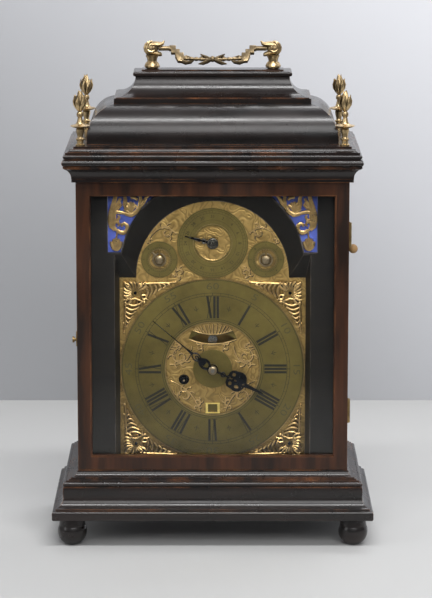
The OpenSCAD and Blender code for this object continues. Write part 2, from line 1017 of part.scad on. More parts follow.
module date_ring() {
    color(brass) case_frame() at_centre()
        slab(date_y, date_t)
            flat_ring(date_ro, date_ri);
}

// Centre stack, from the hand down: pipe of the cannon, pipe of the hour wheel, alarm sleeve
cannon_r = 2.5;
hour_pipe_r = 4;
minute_y = dial_y - 10;
hour_y = dial_y - 6;
hand_t = 1;
minute_angle = 310.4;
hour_angle = 116;

module alarm_disc() {
    color(brass) case_frame() at_centre()
        difference() {
            union() {
                slab(dial_y - 1.2, 0.9)
                    circle(r = alarm_r, $fn = 96);
                bar_y(0, 0, dial_y - 3, dial_y - 0.3, 5.3);
            }
            bar_y(0, 0, dial_y - 4, dial_y + 1, hour_pipe_r + run_gap);
        }
}

module pierced_lobe(r) {
    difference() {
        circle(r = r, $fn = 24);
        circle(r = r * 0.45, $fn = 24);
    }
}

module hour_hand() {
    color(steel) case_frame() at_centre()
        slab(hour_y, hand_t)
            rotate(-hour_angle)
                difference() {
                    union() {
                        circle(r = 6.6);
                        strip([0, 5], [0, 24], 3);
                        translate([0, 21])
                            pierced_lobe(3.6);
                        for (s = [-1, 1])
                            translate([s * 4.4, 27.5])
                                pierced_lobe(4.6);
                        translate([0, 33.5])
                            pierced_lobe(4.6);
                        polygon([[-2.6, 36], [2.6, 36], [1.4, hour_len - 7], [0, hour_len], [-1.4, hour_len - 7]]);
                    }
                    circle(r = hour_pipe_r);
                }
}

module minute_hand() {
    color(steel) case_frame() at_centre() {
        slab(minute_y, hand_t)
            rotate(-minute_angle)
                difference() {
                    union() {
                        circle(r = 5.2);
                        strip([0, 4], [0, 16], 2.6);
                        for (z = [13, 20])
                            translate([0, z])
                                pierced_lobe(3.1);
                        polygon([[-1.9, 20], [1.9, 20], [0.5, minute_len - 2], [0, minute_len], [-0.5, minute_len - 2]]);
                    }
                    circle(r = cannon_r);
                }
        difference() {
            bar_y(0, 0, minute_y - 1.2, minute_y, 3.6);
            bar_y(0, 0, minute_y - 2, minute_y + 1, cannon_r);
        }
    }
}

top_hand_angle = 285;
module top_hand() {
    y = dial_y - sub_t - 2.2;
    color(steel) case_frame()
        translate([0, 0, centre_z + top_dial_up]) {
            slab(y, hand_t)
                rotate(-top_hand_angle) {
                    circle(r = 5.4);
                    strip([0, 4], [0, 21], 2);
                    strip([0, 21], [0, 27], 1);
                }
            bar_y(0, 0, y - 1, y, 3.4);
            bar_y(0, 0, y, dial_y + plate_t + 1, stud_r);
            bar_y(0, 0, dial_y + plate_t + 0.3, dial_y + plate_t + 1.6, 3.4);
        }
}

// A turned knob with a short pointer over one of the small dials
module pointer(side, angle) {
    y = dial_y - sub_t - 1.6;
    color(brass) case_frame()
        translate([side * small_dial[0], 0, centre_z + small_dial[1]]) {
            slab(y, hand_t)
                rotate(-angle) {
                    circle(r = 4.4);
                    strip([0, 3], [0, 9], 1.2);
                }
            bar_y(0, 0, y - 3, y, 3.2);
            bar_y(0, 0, y, dial_y + plate_t + 1, stud_r);
            bar_y(0, 0, dial_y + plate_t + 0.3, dial_y + plate_t + 1.6, 3.4);
        }
}

module left_pointer() {
    pointer(-1, 0);
}

module right_pointer() {
    pointer(1, 0);
}

// Movement: every arbor's place, as distances from the dial's centre in x and z
move_foot = -72;
move_head = 86;
going_at = [wind_x, -wind_drop];
strike_at = [-wind_x, -wind_drop];
great_n = 80;
centre_n = 10;
great_m = 2 * norm(going_at) / (great_n + centre_n);

function step_from(p, dist, angle) = p + dist * [cos(angle), sin(angle)];
function angle_to(a, b) = atan2(b[1] - a[1], b[0] - a[0]);

centre_wheel_n = 72;
centre_m = 0.62;
third_p = 10;
third_n = 70;
third_m = 0.6;
contrate_p = 10;
contrate_up = 41;
contrate_at = [0, contrate_up];
centre_third = centre_m * (centre_wheel_n + third_p) / 2;
third_contrate = third_m * (third_n + contrate_p) / 2;
third_a = (centre_third * centre_third - third_contrate * third_contrate + contrate_up * contrate_up)
    / (2 * contrate_up);
third_at = [sqrt(centre_third * centre_third - third_a * third_a), third_a];

cannon_n = 12;
minute_wheel_n = 36;
minute_m = 0.9;
minute_p = 12;
hour_n = 48;
hour_m = minute_m * (cannon_n + minute_wheel_n) / (minute_p + hour_n);
minute_at = [0, -minute_m * (cannon_n + minute_wheel_n) / 2];
minute_stud_r = 1.2;

pin_n = 66;
pin_m = 0.6;
lock_p = 8;
lock_n = 56;
lock_m = 0.55;
warn_p = 8;
warn_n = 48;
warn_m = 0.5;
fly_p = 8;
pin_at = step_from(strike_at, norm(going_at), 118);
lock_at = step_from(pin_at, pin_m * (pin_n + lock_p) / 2, 60);
warn_at = step_from(lock_at, lock_m * (lock_n + warn_p) / 2, 100);
fly_at = step_from(warn_at, warn_m * (warn_n + fly_p) / 2, 65);
hammer_at = [-54, 41];
arm_at = [46, 74];
arm_stud_r = 1.5;
tab_t = 1.2;
verge_at = [0, verge_up];

// Places along the depth between the plates, from the front plate's inner face
centre_wheel_y = gap_y + 3.5;
great_y = gap_y + 10.5;
drum_y = gap_y + 14.5;
drum_len = 24;
strike_great_y = drum_y + drum_len + 2;
third_wheel_y = strike_great_y + 2;
pin_wheel_y = gap_y + 7.5;
lock_wheel_y = gap_y + 17.5;
warn_wheel_y = gap_y + 35.5;
crown_y = gap_y + 23.5;
wheel_t = 1.6;
great_t = 2.5;

// Outline of a wheel or pinion: root, pitch and tip on each flank, with backlash in the flanks
function tooth_point(r, a) = [r * cos(a), r * sin(a)];
function gear_points(n, m, add, ded, thick) = [
    for (i = [0 : n - 1])
        for (k = [[-ded, -thick - 0.08], [0, -thick], [add, -0.34], [add, 0.34], [0, thick], [-ded, thick + 0.08]])
            tooth_point(n * m / 2 + k[0] * m, (i + k[1] / 4) * 360 / n)
];

module wheel_outline(n, m, phase) {
    rotate(phase)
        polygon(gear_points(n, m, 0.9, 1.2, 0.9));
}

module pinion_outline(n, m, phase) {
    rotate(phase)
        polygon(gear_points(n, m, 0.65, 1.3, 0.8));
}

// A wheel with crossed-out spokes, its hub bored for the arbor that carries it
module crossed_wheel(n, m, phase, spokes, hub_r) {
    rim = n * m / 2 - 3.2 * m - 1;
    difference() {
        wheel_outline(n, m, phase);
        difference() {
            circle(r = rim);
            circle(r = hub_r);
            for (i = [0 : spokes - 1])
                rotate(i * 360 / spokes + 20)
                    translate([0, -1.1])
                        square([rim + 1, 2.2]);
        }
    }
}

module at_arbor(p) {
    translate([p[0], 0, centre_z + p[1]])
        children();
}

// An arbor whose ends turn in both plates
module arbor(r, pivot) {
    bar_y(0, 0, gap_y + 0.4, back_plate_y - 0.4, r);
    bar_y(0, 0, front_plate_y + 0.3, back_plate_y + brass_t - 0.3, pivot);
}

centre_r = 1.8;
pivot_small = 0.9;
winder_r = 3.4;
winder_back_r = 2.4;
verge_r = 1;

// Every hole that both plates share
pivots = [third_at, contrate_at, pin_at, lock_at, warn_at, fly_at, hammer_at];
pillar_pts = [[-54, -62], [54, -62], [-36, 80], [50, 76]];

module plate_outline() {
    translate([-move_w / 2, move_foot])
        square([move_w, move_head - move_foot]);
}

module front_plate() {
    color(brass) case_frame() at_centre() {
        bar_y(minute_at[0], minute_at[1], front_plate_y - 7.8, front_plate_y, minute_stud_r);
        bar_y(minute_at[0], minute_at[1], front_plate_y - 7.9, front_plate_y - 7.1, minute_stud_r + 1.2);
        bar_y(arm_at[0], arm_at[1], front_plate_y - 3.6, front_plate_y, arm_stud_r);
        bar_y(arm_at[0], arm_at[1], front_plate_y - 4.2, front_plate_y - 3.3, arm_stud_r + 1.4);
        slab(front_plate_y, brass_t)
            difference() {
                plate_outline();
                for (p = pivots)
                    translate(p)
                        circle(r = pivot_small + run_gap);
                circle(r = centre_r + run_gap);
                for (p = [going_at, strike_at])
                    translate(p)
                        circle(r = winder_r + run_gap);
                translate(verge_at)
                    circle(r = verge_r + run_gap);
            }
    }
}

module back_plate() {
    color(brass) case_frame() at_centre()
        slab(back_plate_y, brass_t)
            difference() {
                plate_outline();
                for (p = pivots)
                    translate(p)
                        circle(r = pivot_small + run_gap);
                circle(r = centre_r + run_gap);
                for (p = [going_at, strike_at])
                    translate(p)
                        circle(r = winder_back_r + run_gap);
                translate(verge_at)
                    circle(r = 5);
            }
}

module plate_pillars() {
    color(brass) case_frame() at_centre()
        for (p = pillar_pts)
            translate([p[0], gap_y, p[1]])
                rotate([-90, 0, 0])
                    rotate_extrude()
                        polygon([
                            [0, 0], [4.4, 0], [4.4, 3], [2.6, 5], [2.6, plate_gap / 2 - 5],
                            [4, plate_gap / 2 - 2], [4, plate_gap / 2 + 2], [2.6, plate_gap / 2 + 5],
                            [2.6, plate_gap - 5], [4.4, plate_gap - 3], [4.4, plate_gap], [0, plate_gap]
                        ]);
}

seat_t = 8;
module seat_board() {
    z = centre_z + move_foot - seat_t;
    y0 = front_plate_y - 1;
    y1 = back_plate_y + brass_t + 2;
    color(wood_red) case_frame() {
        translate([-inner_x + fit_gap, y0, z])
            cube([2 * (inner_x - fit_gap), y1 - y0, seat_t]);
        both_sides()
            translate([inner_x - 12, y0, case_z])
                cube([12 - fit_gap, y1 - y0, z - case_z]);
    }
}

// Escapement heights over the dial's centre
crown_foot = 45.3;
crown_pinion_z = 53.5;
crown_disc_z = 64;
crown_tip_z = 75.8;
crown_r = 9;
crown_n = 17;
crown_m = 0.49;
contrate_n = 60;
contrate_r = contrate_n * crown_m / 2;
contrate_pitch_y = crown_y + contrate_p * crown_m / 2;
crown_arbor_r = 0.9;

ratchet_r = 8.6;
ratchet_y = front_plate_y - 2.4;
ratchet_t = 1.6;

// The brackets that carry the crown wheel, the pendulum end of the verge and the bell,
// and the clicks beside the two ratchet wheels
module cocks_and_clicks() {
    cock_y = back_plate_y + brass_t;
    cock_bore_y = cock_y + 4.5;
    bell_foot_y = cock_y + 2.5;
    mouth_z = bell_up - 4;
    color(brass) case_frame() at_centre() {
        difference() {
            union() {
                translate([-4, gap_y, crown_foot - 1.5])
                    cube([8, crown_y - gap_y + 2.6, 4]);
                translate([-4, crown_y - 3, crown_disc_z - 4.7])
                    cube([8, back_plate_y - crown_y + 3, 3]);
            }
            translate([0, crown_y, crown_foot - seat_gap])
                cylinder(h = crown_disc_z - crown_foot, r = crown_arbor_r + run_gap);
        }
        difference() {
            union() {
                for (s = [-1, 1])
                    translate([s * 15 - 4, cock_y, verge_up - 5])
                        cube([8, 4.5, 10]);
                translate([-19, cock_bore_y, verge_up - 5])
                    cube([38, 2.5, 10]);
            }
            bar_y(0, verge_up, cock_y, cock_y + 20, verge_r + run_gap);
        }
        translate([22, cock_y, verge_up - 22])
            cube([7, 2.5, mouth_z - verge_up + 22]);
        translate([-4, cock_y - 8, mouth_z - 3])
            cube([33, 10.5, 3]);
        translate([-4, bell_y - 4, mouth_z - 3])
            cube([8, cock_y - bell_y, 3]);
        translate([0, bell_y, mouth_z - 3])
            cylinder(h = bell_up + bell_h + 7 - mouth_z, r = 2);
        translate([0, bell_y, bell_up + bell_h + 0.4])
            cylinder(h = 2.6, r = 4.6, $fn = 6);
        translate([0, bell_y, bell_up + bell_h - bell_wall - 2.4])
            cylinder(h = 2, r = 4);
        for (s = [-1, 1]) {
            slab(ratchet_y, ratchet_t)
                translate([s * wind_x, -wind_drop])
                    translate([s * (ratchet_r + 5), -6])
                        strip([0, 0], [-s * 3.4, 4.6], 2.6);
            bar_y(s * (wind_x + ratchet_r + 5), -wind_drop - 6, ratchet_y - 0.6, front_plate_y, 2);
        }
    }
}

bell_up = move_head + 8;
bell_y = gap_y + 26;
bell_h = 24;
bell_wall = 1.6;
module strike_bell() {
    round_r = 20;
    color(brass) case_frame() at_centre()
        translate([0, bell_y, bell_up])
            rotate_extrude()
                difference() {
                    union() {
                        translate([2.1, bell_h - 3])
                            square([bell_r - round_r - 2.1, 3]);
                        translate([2.1, 0])
                            square([bell_r - 2.1, bell_h - round_r]);
                        intersection() {
                            translate([bell_r - round_r, bell_h - round_r])
                                circle(r = round_r);
                            translate([2.1, 0])
                                square([bell_r, bell_h]);
                        }
                    }
                    translate([0, -1])
                        square([bell_r - bell_wall, bell_h - round_r + 1]);
                    translate([bell_r - round_r, bell_h - round_r])
                        circle(r = round_r - bell_wall);
                    translate([0, -1])
                        square([bell_r - round_r, bell_h - bell_wall + 1]);
                }
}

module centre_arbor() {
    color(steel) case_frame()
        at_arbor([0, 0]) {
            arbor(centre_r + 0.4, centre_r);
            bar_y(0, 0, minute_y - 2.4, front_plate_y + 0.5, centre_r);
            bar_y(0, 0, minute_y - 1.2, front_plate_y - 0.4, cannon_r);
            slab(centre_wheel_y, wheel_t)
                crossed_wheel(centre_wheel_n, centre_m, angle_to([0, 0], third_at), 4, 5);
            slab(great_y - 1, great_t + 2)
                pinion_outline(centre_n, great_m, angle_to(going_at, [0, 0]) + 180 + 180 / centre_n);
            slab(front_plate_y - 4, 2.6)
                pinion_outline(cannon_n, minute_m, 270);
        }
}

module minute_wheel() {
    color(brass) case_frame() at_arbor(minute_at)
        difference() {
            union() {
                slab(front_plate_y - 3.5, 1.5)
                    wheel_outline(minute_wheel_n, minute_m, 90 + 180 / minute_wheel_n);
                slab(front_plate_y - 6.7, 3.3)
                    pinion_outline(minute_p, hour_m, 90);
            }
            bar_y(0, 0, front_plate_y - 8, front_plate_y, minute_stud_r + run_gap);
        }
}

module hour_wheel() {
    color(brass) case_frame()
        at_arbor([0, 0])
            difference() {
                union() {
                    slab(front_plate_y - 6.2, 1.4)
                        wheel_outline(hour_n, hour_m, 270 + 180 / hour_n);
                    bar_y(0, 0, hour_y - 0.6, front_plate_y - 4.8, hour_pipe_r);
                }
                bar_y(0, 0, hour_y - 2, front_plate_y, cannon_r + run_gap);
            }
}

module third_wheel() {
    color(brass) case_frame() at_arbor(third_at) {
        arbor(1.4, pivot_small);
        slab(centre_wheel_y - 1, wheel_t + 2)
            pinion_outline(third_p, centre_m, angle_to([0, 0], third_at) + 180 + 180 / third_p);
        slab(third_wheel_y, wheel_t)
            crossed_wheel(third_n, third_m, angle_to(third_at, contrate_at), 4, 4);
    }
}

module contrate_tooth() {
    w = crown_m * PI / 4;
    polygon([
        [-w * 0.98, 1.2 * crown_m + 0.3], [-w * 0.98, 1.2 * crown_m], [-w * 0.9, 0], [-w * 0.34, -0.9 * crown_m],
        [w * 0.34, -0.9 * crown_m], [w * 0.9, 0], [w * 0.98, 1.2 * crown_m], [w * 0.98, 1.2 * crown_m + 0.3]
    ]);
}

module contrate_wheel() {
    root_y = contrate_pitch_y + 1.2 * crown_m;
    color(brass) case_frame() at_arbor(contrate_at) {
        arbor(1.3, pivot_small);
        slab(third_wheel_y - 1, wheel_t + 2)
            pinion_outline(contrate_p, third_m, angle_to(third_at, contrate_at) + 180 + 180 / contrate_p);
        slab(root_y, 1.8)
            flat_ring(contrate_r + 0.9, contrate_r - 0.9);
        slab(root_y + 1.8, 1.4)
            difference() {
                circle(r = contrate_r + 0.9);
                difference() {
                    circle(r = contrate_r - 1.4);
                    circle(r = 3.4);
                    for (a = [45, 135, 225, 315])
                        rotate(a)
                            translate([0, -0.9])
                                square([contrate_r, 1.8]);
                }
            }
        for (i = [0 : contrate_n - 1])
            rotate([0, i * 360 / contrate_n, 0])
                translate([0, contrate_pitch_y, contrate_r - 0.85])
                    linear_extrude(1.7)
                        contrate_tooth();
    }
}

// One saw tooth of the crown wheel, rising from the rim
module crown_tooth(h) {
    w = 2 * PI * crown_r / crown_n * 0.72;
    rotate([90, 0, 0])
        linear_extrude(1.2)
            polygon([[0, 0], [w, 0], [w * 0.16, h], [0, h]]);
}

module crown_wheel() {
    rim_h = crown_tip_z - 4.6 - crown_disc_z;
    color(brass) case_frame()
        translate([0, crown_y, centre_z]) {
            translate([0, 0, crown_foot])
                cylinder(h = crown_tip_z - 2 - crown_foot, r = crown_arbor_r);
            translate([0, 0, crown_pinion_z - 1.3])
                linear_extrude(4.6)
                    pinion_outline(contrate_p, crown_m, 90 + 180 / contrate_p);
            translate([0, 0, crown_disc_z])
                cylinder(h = 1.4, r = crown_r);
            translate([0, 0, crown_disc_z + 1.4])
                linear_extrude(rim_h - 1.4)
                    flat_ring(crown_r, crown_r - 1.2);
            for (i = [0 : crown_n - 1])
                rotate([0, 0, i * 360 / crown_n])
                    translate([0, crown_r - 0.05, crown_disc_z + rim_h - 0.1])
                        crown_tooth(4.7);
        }
}

mock_r = verge_up - 27;
mock_y = front_plate_y - 6.6;
pallet_len = 3;
module verge_and_mock_bob() {
    pallet_w = 2.4;
    cock_end = back_plate_y + brass_t + 7;
    color(steel) case_frame() at_arbor(verge_at) {
        bar_y(0, 0, mock_y, cock_end + 5, verge_r);
        for (s = [-1, 1])
            slab(crown_y + s * (crown_r - 0.7) - pallet_w / 2, pallet_w)
                rotate(-90 + s * 48)
                    translate([0, -0.35])
                        square([pallet_len, 0.7]);
        slab(mock_y, 1.2) {
            circle(r = 3);
            strip([0, 0], [0, -mock_r + 4], 1.6);
            translate([0, -mock_r])
                circle(r = 4.6);
        }
    }
}

pendulum_y = back_plate_y + brass_t + 7.4;
module pendulum() {
    color(brass) case_frame() at_arbor(verge_at) {
        difference() {
            bar_y(0, 0, pendulum_y, pendulum_y + 4, 3.6);
            bar_y(0, 0, pendulum_y - 1, pendulum_y + 5, verge_r);
        }
        slab(pendulum_y + 1, 1.6)
            translate([-1.4, -bob_drop - bob_r - 8])
                square([2.8, bob_drop + bob_r + 8 - 3]);
        translate([0, pendulum_y + 1.8, -bob_drop])
            rotate([90, 0, 0])
                rotate_extrude() {
                    polygon([[0, -4], [bob_r * 0.55, -3.4], [bob_r, -0.9], [bob_r, 0.9], [bob_r * 0.55, 3.4], [0, 4]]);
                }
        translate([0, pendulum_y + 1.8, -bob_drop - bob_r - 5])
            cylinder(h = 3, r = 3.4);
    }
}

module barrel_drum(wheel_y, mesh_at, own_at) {
    difference() {
        union() {
            bar_y(0, 0, drum_y, drum_y + drum_len, barrel_r);
            slab(wheel_y, great_t)
                wheel_outline(great_n, great_m, angle_to(own_at, mesh_at));
            bar_y(0, 0, min(wheel_y, drum_y), max(wheel_y + great_t, drum_y + drum_len), 9);
            for (y = [drum_y - 0.8, drum_y + drum_len])
                slab(y, 0.8)
                    flat_ring(barrel_r - 1, barrel_r - 5);
        }
        bar_y(0, 0, gap_y, back_plate_y, winder_r + run_gap);
    }
}

module going_barrel() {
    color(brass) case_frame() at_arbor(going_at)
        barrel_drum(great_y, [0, 0], going_at);
}

module strike_barrel() {
    color(brass) case_frame() at_arbor(strike_at)
        barrel_drum(strike_great_y, pin_at, strike_at);
}

// The winding arbor: a square for the key, the ratchet wheel and the arbor through the barrel
module winder() {
    square_w = 4.6;
    bar_y(0, 0, dial_y + plate_t, back_plate_y - 0.4, winder_r);
    bar_y(0, 0, back_plate_y - 1, back_plate_y + brass_t - 0.3, winder_back_r);
    slab(hour_y + hand_t + 0.6, dial_y + plate_t - hour_y)
        translate([-square_w / 2, -square_w / 2])
            square(square_w);
    slab(ratchet_y, ratchet_t)
        polygon([
            for (i = [0 : 17])
                for (k = [[0, ratchet_r], [0.12, ratchet_r - 1.4]])
                    tooth_point(k[1], (i + k[0]) * 20)
        ]);
}

module going_winder() {
    color(steel) case_frame() at_arbor(going_at)
        winder();
}

module strike_winder() {
    color(steel) case_frame() at_arbor(strike_at)
        winder();
}

module pin_wheel() {
    color(brass) case_frame() at_arbor(pin_at) {
        arbor(1.4, pivot_small);
        slab(strike_great_y - 1, great_t + 1.6)
            pinion_outline(centre_n, great_m, angle_to(strike_at, pin_at) + 180 + 180 / centre_n);
        slab(pin_wheel_y, wheel_t)
            crossed_wheel(pin_n, pin_m, angle_to(pin_at, lock_at), 4, 4);
        for (i = [0 : 7])
            rotate([0, i * 45, 0])
                bar_y(0, 17, pin_wheel_y + 0.5, pin_wheel_y + wheel_t + 3, 0.7, $fn = 16);
    }
}

module locking_wheel() {
    color(brass) case_frame() at_arbor(lock_at) {
        arbor(1.3, pivot_small);
        slab(pin_wheel_y - 1, wheel_t + 2)
            pinion_outline(lock_p, pin_m, angle_to(pin_at, lock_at) + 180 + 180 / lock_p);
        slab(lock_wheel_y, wheel_t)
            crossed_wheel(lock_n, lock_m, angle_to(lock_at, warn_at), 4, 3.6);
    }
}

module warning_wheel() {
    color(brass) case_frame() at_arbor(warn_at) {
        arbor(1.2, pivot_small);
        slab(lock_wheel_y - 1, wheel_t + 2)
            pinion_outline(warn_p, lock_m, angle_to(lock_at, warn_at) + 180 + 180 / warn_p);
        slab(warn_wheel_y, wheel_t)
            crossed_wheel(warn_n, warn_m, angle_to(warn_at, fly_at), 4, 3.4);
    }
}

module fly() {
    vane = 10.6;
    color(brass) case_frame() at_arbor(fly_at) {
        arbor(1, pivot_small);
        slab(warn_wheel_y - 1, wheel_t + 2)
            pinion_outline(fly_p, warn_m, angle_to(warn_at, fly_at) + 180 + 180 / fly_p);
        translate([0, gap_y + 13, 0])
            rotate([0, -30, 0])
                translate([-vane, 0, -0.5])
                    cube([2 * vane, 18, 1]);
    }
}

module hammer() {
    rise = bell_up + 5 - hammer_at[1];
    head_x = -bell_r - 0.5 - hammer_at[0];
    color(steel) case_frame() at_arbor(hammer_at) {
        arbor(1.5, pivot_small);
        slab(bell_y - 1.2, 2.4)
            polygon([
                [-1.2, 0], [1.2, 0], [-0.8, rise * 0.5], [head_x - 3.8, rise], [head_x - 6.2, rise],
                [-3.2, rise * 0.5]
            ]);
        bar_x(head_x - 10, head_x, bell_y, rise, 3.5);
        slab(pin_wheel_y + wheel_t + 0.4, 2)
            strip([0, 0], [5.6, -7.2], 2);
    }
}

// The lever that the repeat cord tilts, with a slotted tab at its upper end
module repeat_arm() {
    y = front_plate_y - 2.9;
    reach = pull_z - centre_z - arm_at[1];
    color(steel) case_frame() at_arbor(arm_at)
        difference() {
            union() {
                slab(y, 2.4) {
                    circle(r = 3.6);
                    strip([0, 0], [0, reach], 3.2);
                    strip([0, 0], [-13, -6], 2.8);
                }
                translate([-tab_t / 2, pull_y - 2.6, reach - 4])
                    cube([tab_t, y + 2.4 - pull_y + 2.6, 8]);
            }
            bar_y(0, 0, y - 1, y + 4, arm_stud_r + run_gap);
            translate([-4, pull_y - cord_r - 0.4, reach - cord_r - 0.5])
                cube([8, 2 * cord_r + 0.8, 10]);
        }
}

// The bead outside the case and the taut cord that runs in through the side, through the
// arm's tab to a stop knob behind it
module repeat_pull() {
    bead_r = 4.4;
    knob_r = 2.1;
    knob_x = arm_at[0] - tab_t / 2 - 0.35 - knob_r;
    color("#b98d5c") case_frame()
        translate([0, pull_y, pull_z]) {
            translate([case_w / 2 + 1.2 + bead_r, 0, 0])
                sphere(r = bead_r);
            bar_x(knob_x, case_w / 2 + 2, 0, 0, cord_r);
            translate([knob_x, 0, 0])
                sphere(r = knob_r);
        }
}

ball_feet();
base_moulding();
base_floor();
case_side_left();
case_side_right();
side_windows();
top_board();
cornice();
bell_tier_lower();
bell_tier_upper();
top_cap();
finials();
handle_posts();
bail_handle();
front_door_frame();
front_door_glass();
front_door_fittings();
back_door_frame();
back_door_glass();
back_door_fittings();
hinge_leaves_and_pins();
dial_mask();
mask_silk();
mask_frets();
dial_plate();
chapter_ring();
subsidiary_rings();
corner_spandrels();
date_ring();
alarm_disc();
hour_hand();
minute_hand();
top_hand();
left_pointer();
right_pointer();
seat_board();
front_plate();
back_plate();
plate_pillars();
cocks_and_clicks();
strike_bell();
centre_arbor();
minute_wheel();
hour_wheel();
third_wheel();
contrate_wheel();
crown_wheel();
verge_and_mock_bob();
pendulum();
going_barrel();
going_winder();
strike_barrel();
strike_winder();
pin_wheel();
locking_wheel();
warning_wheel();
fly();
hammer();
repeat_arm();
repeat_pull();
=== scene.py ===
# %% [markdown]
# # Dressing an old table clock
# The clock has a black polished case with a bell-shaped top, a gilt handle and finials, and a
# brass dial behind a glazed door. Its parts come from a finished CAD model, which is loaded
# first and never changed. Blender adds what the CAD model leaves plain: carved and cast
# ornament, engraving, blued hands, silk and every finish.

# %% Load the clock
import json
import math

import bmesh
import bpy
from mathutils import Matrix, Vector


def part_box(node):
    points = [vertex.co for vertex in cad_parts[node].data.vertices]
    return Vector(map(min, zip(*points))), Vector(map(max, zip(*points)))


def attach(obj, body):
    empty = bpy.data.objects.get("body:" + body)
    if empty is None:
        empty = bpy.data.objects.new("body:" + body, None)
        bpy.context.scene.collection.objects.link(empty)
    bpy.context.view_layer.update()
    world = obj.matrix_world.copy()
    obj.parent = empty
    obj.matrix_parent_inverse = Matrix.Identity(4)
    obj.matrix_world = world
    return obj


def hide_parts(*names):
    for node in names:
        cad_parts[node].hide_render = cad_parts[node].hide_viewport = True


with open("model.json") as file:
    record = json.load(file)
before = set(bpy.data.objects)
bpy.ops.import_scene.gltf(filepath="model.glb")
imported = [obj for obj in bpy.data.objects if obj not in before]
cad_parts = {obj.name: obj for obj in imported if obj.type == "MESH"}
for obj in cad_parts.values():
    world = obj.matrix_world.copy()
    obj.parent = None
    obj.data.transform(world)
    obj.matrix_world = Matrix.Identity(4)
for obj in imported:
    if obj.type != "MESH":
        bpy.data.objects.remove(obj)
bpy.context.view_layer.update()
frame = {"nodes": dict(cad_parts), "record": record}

# %% [markdown]
# Millimetres suit a clock better than metres, so every new piece is drawn in millimetres and
# scaled once at the end. Heights and depths are read off the CAD parts, so the ornaments sit
# on what carries them.

# %% Landmarks of the clock, in millimetres
MM = 0.001


def box_mm(node):
    low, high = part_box(node)
    return low / MM, high / MM


front_y = box_mm("front_door_frame")[0].y
ring_low, ring_high = box_mm("chapter_ring")
ring_y = ring_low.y
centre_z = (ring_low.z + ring_high.z) / 2
print("dial centre at", round(centre_z, 2), "and chapter ring's face at", round(ring_y, 2))

# %% [markdown]
# The camera stands where the photographer stood, a little above the clock and looking down by
# 11 degrees through a long lens, which keeps the case's sides nearly upright.

# %% Camera
camera_data = bpy.data.cameras.new("camera")
camera_data.lens = 167.2
camera_data.sensor_width = 36
camera_data.clip_end = 50
camera = bpy.data.objects.new("camera", camera_data)
camera.location = (0.0032, -2.626, 0.743)
camera.rotation_euler = (math.radians(78.84), 0, 0)
bpy.context.scene.collection.objects.link(camera)
bpy.context.scene.camera = camera

# %% [markdown]
# ## Finishes
# Each finish is a Principled shader whose colour, roughness and relief come from patterns that
# follow the object's own coordinates. What several finishes share is a node group: edges rubbed
# through, wood grain, and the mottled skin of old metal.


# %% Helpers for building finishes
def shade(text):
    """A colour written as in a paint chart, made linear for the shader"""
    parts = [int(text[i:i + 2], 16) / 255 for i in (1, 3, 5)]
    linear = [c / 12.92 if c <= 0.04045 else ((c + 0.055) / 1.055) ** 2.4 for c in parts]
    return (*linear, 1)


def feed(tree, target, values):
    """Gives each named input of a node a plain value or another node's output"""
    for name, value in values.items():
        if isinstance(value, bpy.types.NodeSocket):
            tree.links.new(value, target.inputs[name])
        else:
            target.inputs[name].default_value = value


def node(tree, kind, values=None, **settings):
    made = tree.nodes.new(kind)
    for name, value in settings.items():
        setattr(made, name, value)
    feed(tree, made, values or {})
    return made


def own_place(tree):
    """Where each point lies in the object's own coordinates"""
    return node(tree, "ShaderNodeTexCoord").outputs["Object"]


def noise(tree, place, scale, detail=2, rough=0.5, distortion=0):
    values = {"Vector": place, "Scale": scale, "Detail": detail, "Roughness": rough}
    return node(tree, "ShaderNodeTexNoise", {**values, "Distortion": distortion}).outputs["Fac"]


def ramp(tree, value, low, high, to_low=0, to_high=1, **settings):
    """A value stretched from the range between low and high to another range"""
    values = {"Value": value, "From Min": low, "From Max": high, "To Min": to_low, "To Max": to_high}
    return node(tree, "ShaderNodeMapRange", values, **settings).outputs["Result"]


def maths(tree, operation, *values, **settings):
    made = node(tree, "ShaderNodeMath", dict(enumerate(values)), operation=operation, **settings)
    return made.outputs["Value"]


def dot(tree, first, second):
    made = node(tree, "ShaderNodeVectorMath", {0: first, 1: second}, operation="DOT_PRODUCT")
    return made.outputs["Value"]


def scaled(tree, colour, factor):
    """A colour made darker or brighter by a factor"""
    made = node(tree, "ShaderNodeVectorMath", {0: colour, "Scale": factor}, operation="SCALE")
    return made.outputs["Vector"]


def blend(tree, factor, first, second):
    """The first colour where the factor is 0 and the second where it is 1"""
    # The node has several sockets of one name, so those for colours are picked by number
    return node(tree, "ShaderNodeMix", {"Factor": factor, 6: first, 7: second}, data_type="RGBA").outputs[2]


def relief(tree, height, strength, distance):
    values = {"Height": height, "Strength": strength, "Distance": distance}
    return node(tree, "ShaderNodeBump", values).outputs["Normal"]


def new_group(name, inputs, outputs):
    """A node group, the sockets that bring its inputs and the node that takes its outputs"""
    group = bpy.data.node_groups.new(name, "ShaderNodeTree")
    for label, kind, default in inputs:
        socket = group.interface.new_socket(label, in_out="INPUT", socket_type=kind)
        socket.default_value = default
    for label, kind in outputs:
        group.interface.new_socket(label, in_out="OUTPUT", socket_type=kind)
    return group, node(group, "NodeGroupInput").outputs, node(group, "NodeGroupOutput")


def use_group(tree, group, values):
    return node(tree, "ShaderNodeGroup", values, node_tree=group).outputs


def new_finish(name):
    material = bpy.data.materials.new(name)
    material.use_nodes = True
    return material, material.node_tree, material.node_tree.nodes["Principled BSDF"]


def clear_where(tree, shader, factor):
    """Makes a finish fully clear where a factor is 1"""
    clear = node(tree, "ShaderNodeBsdfTransparent").outputs["BSDF"]
    mix = node(tree, "ShaderNodeMixShader", {"Fac": factor, 1: shader.outputs["BSDF"], 2: clear})
    feed(tree, tree.nodes["Material Output"], {"Surface": mix.outputs["Shader"]})


NUMBER = "NodeSocketFloat"
COLOUR = "NodeSocketColor"
VECTOR = "NodeSocketVector"


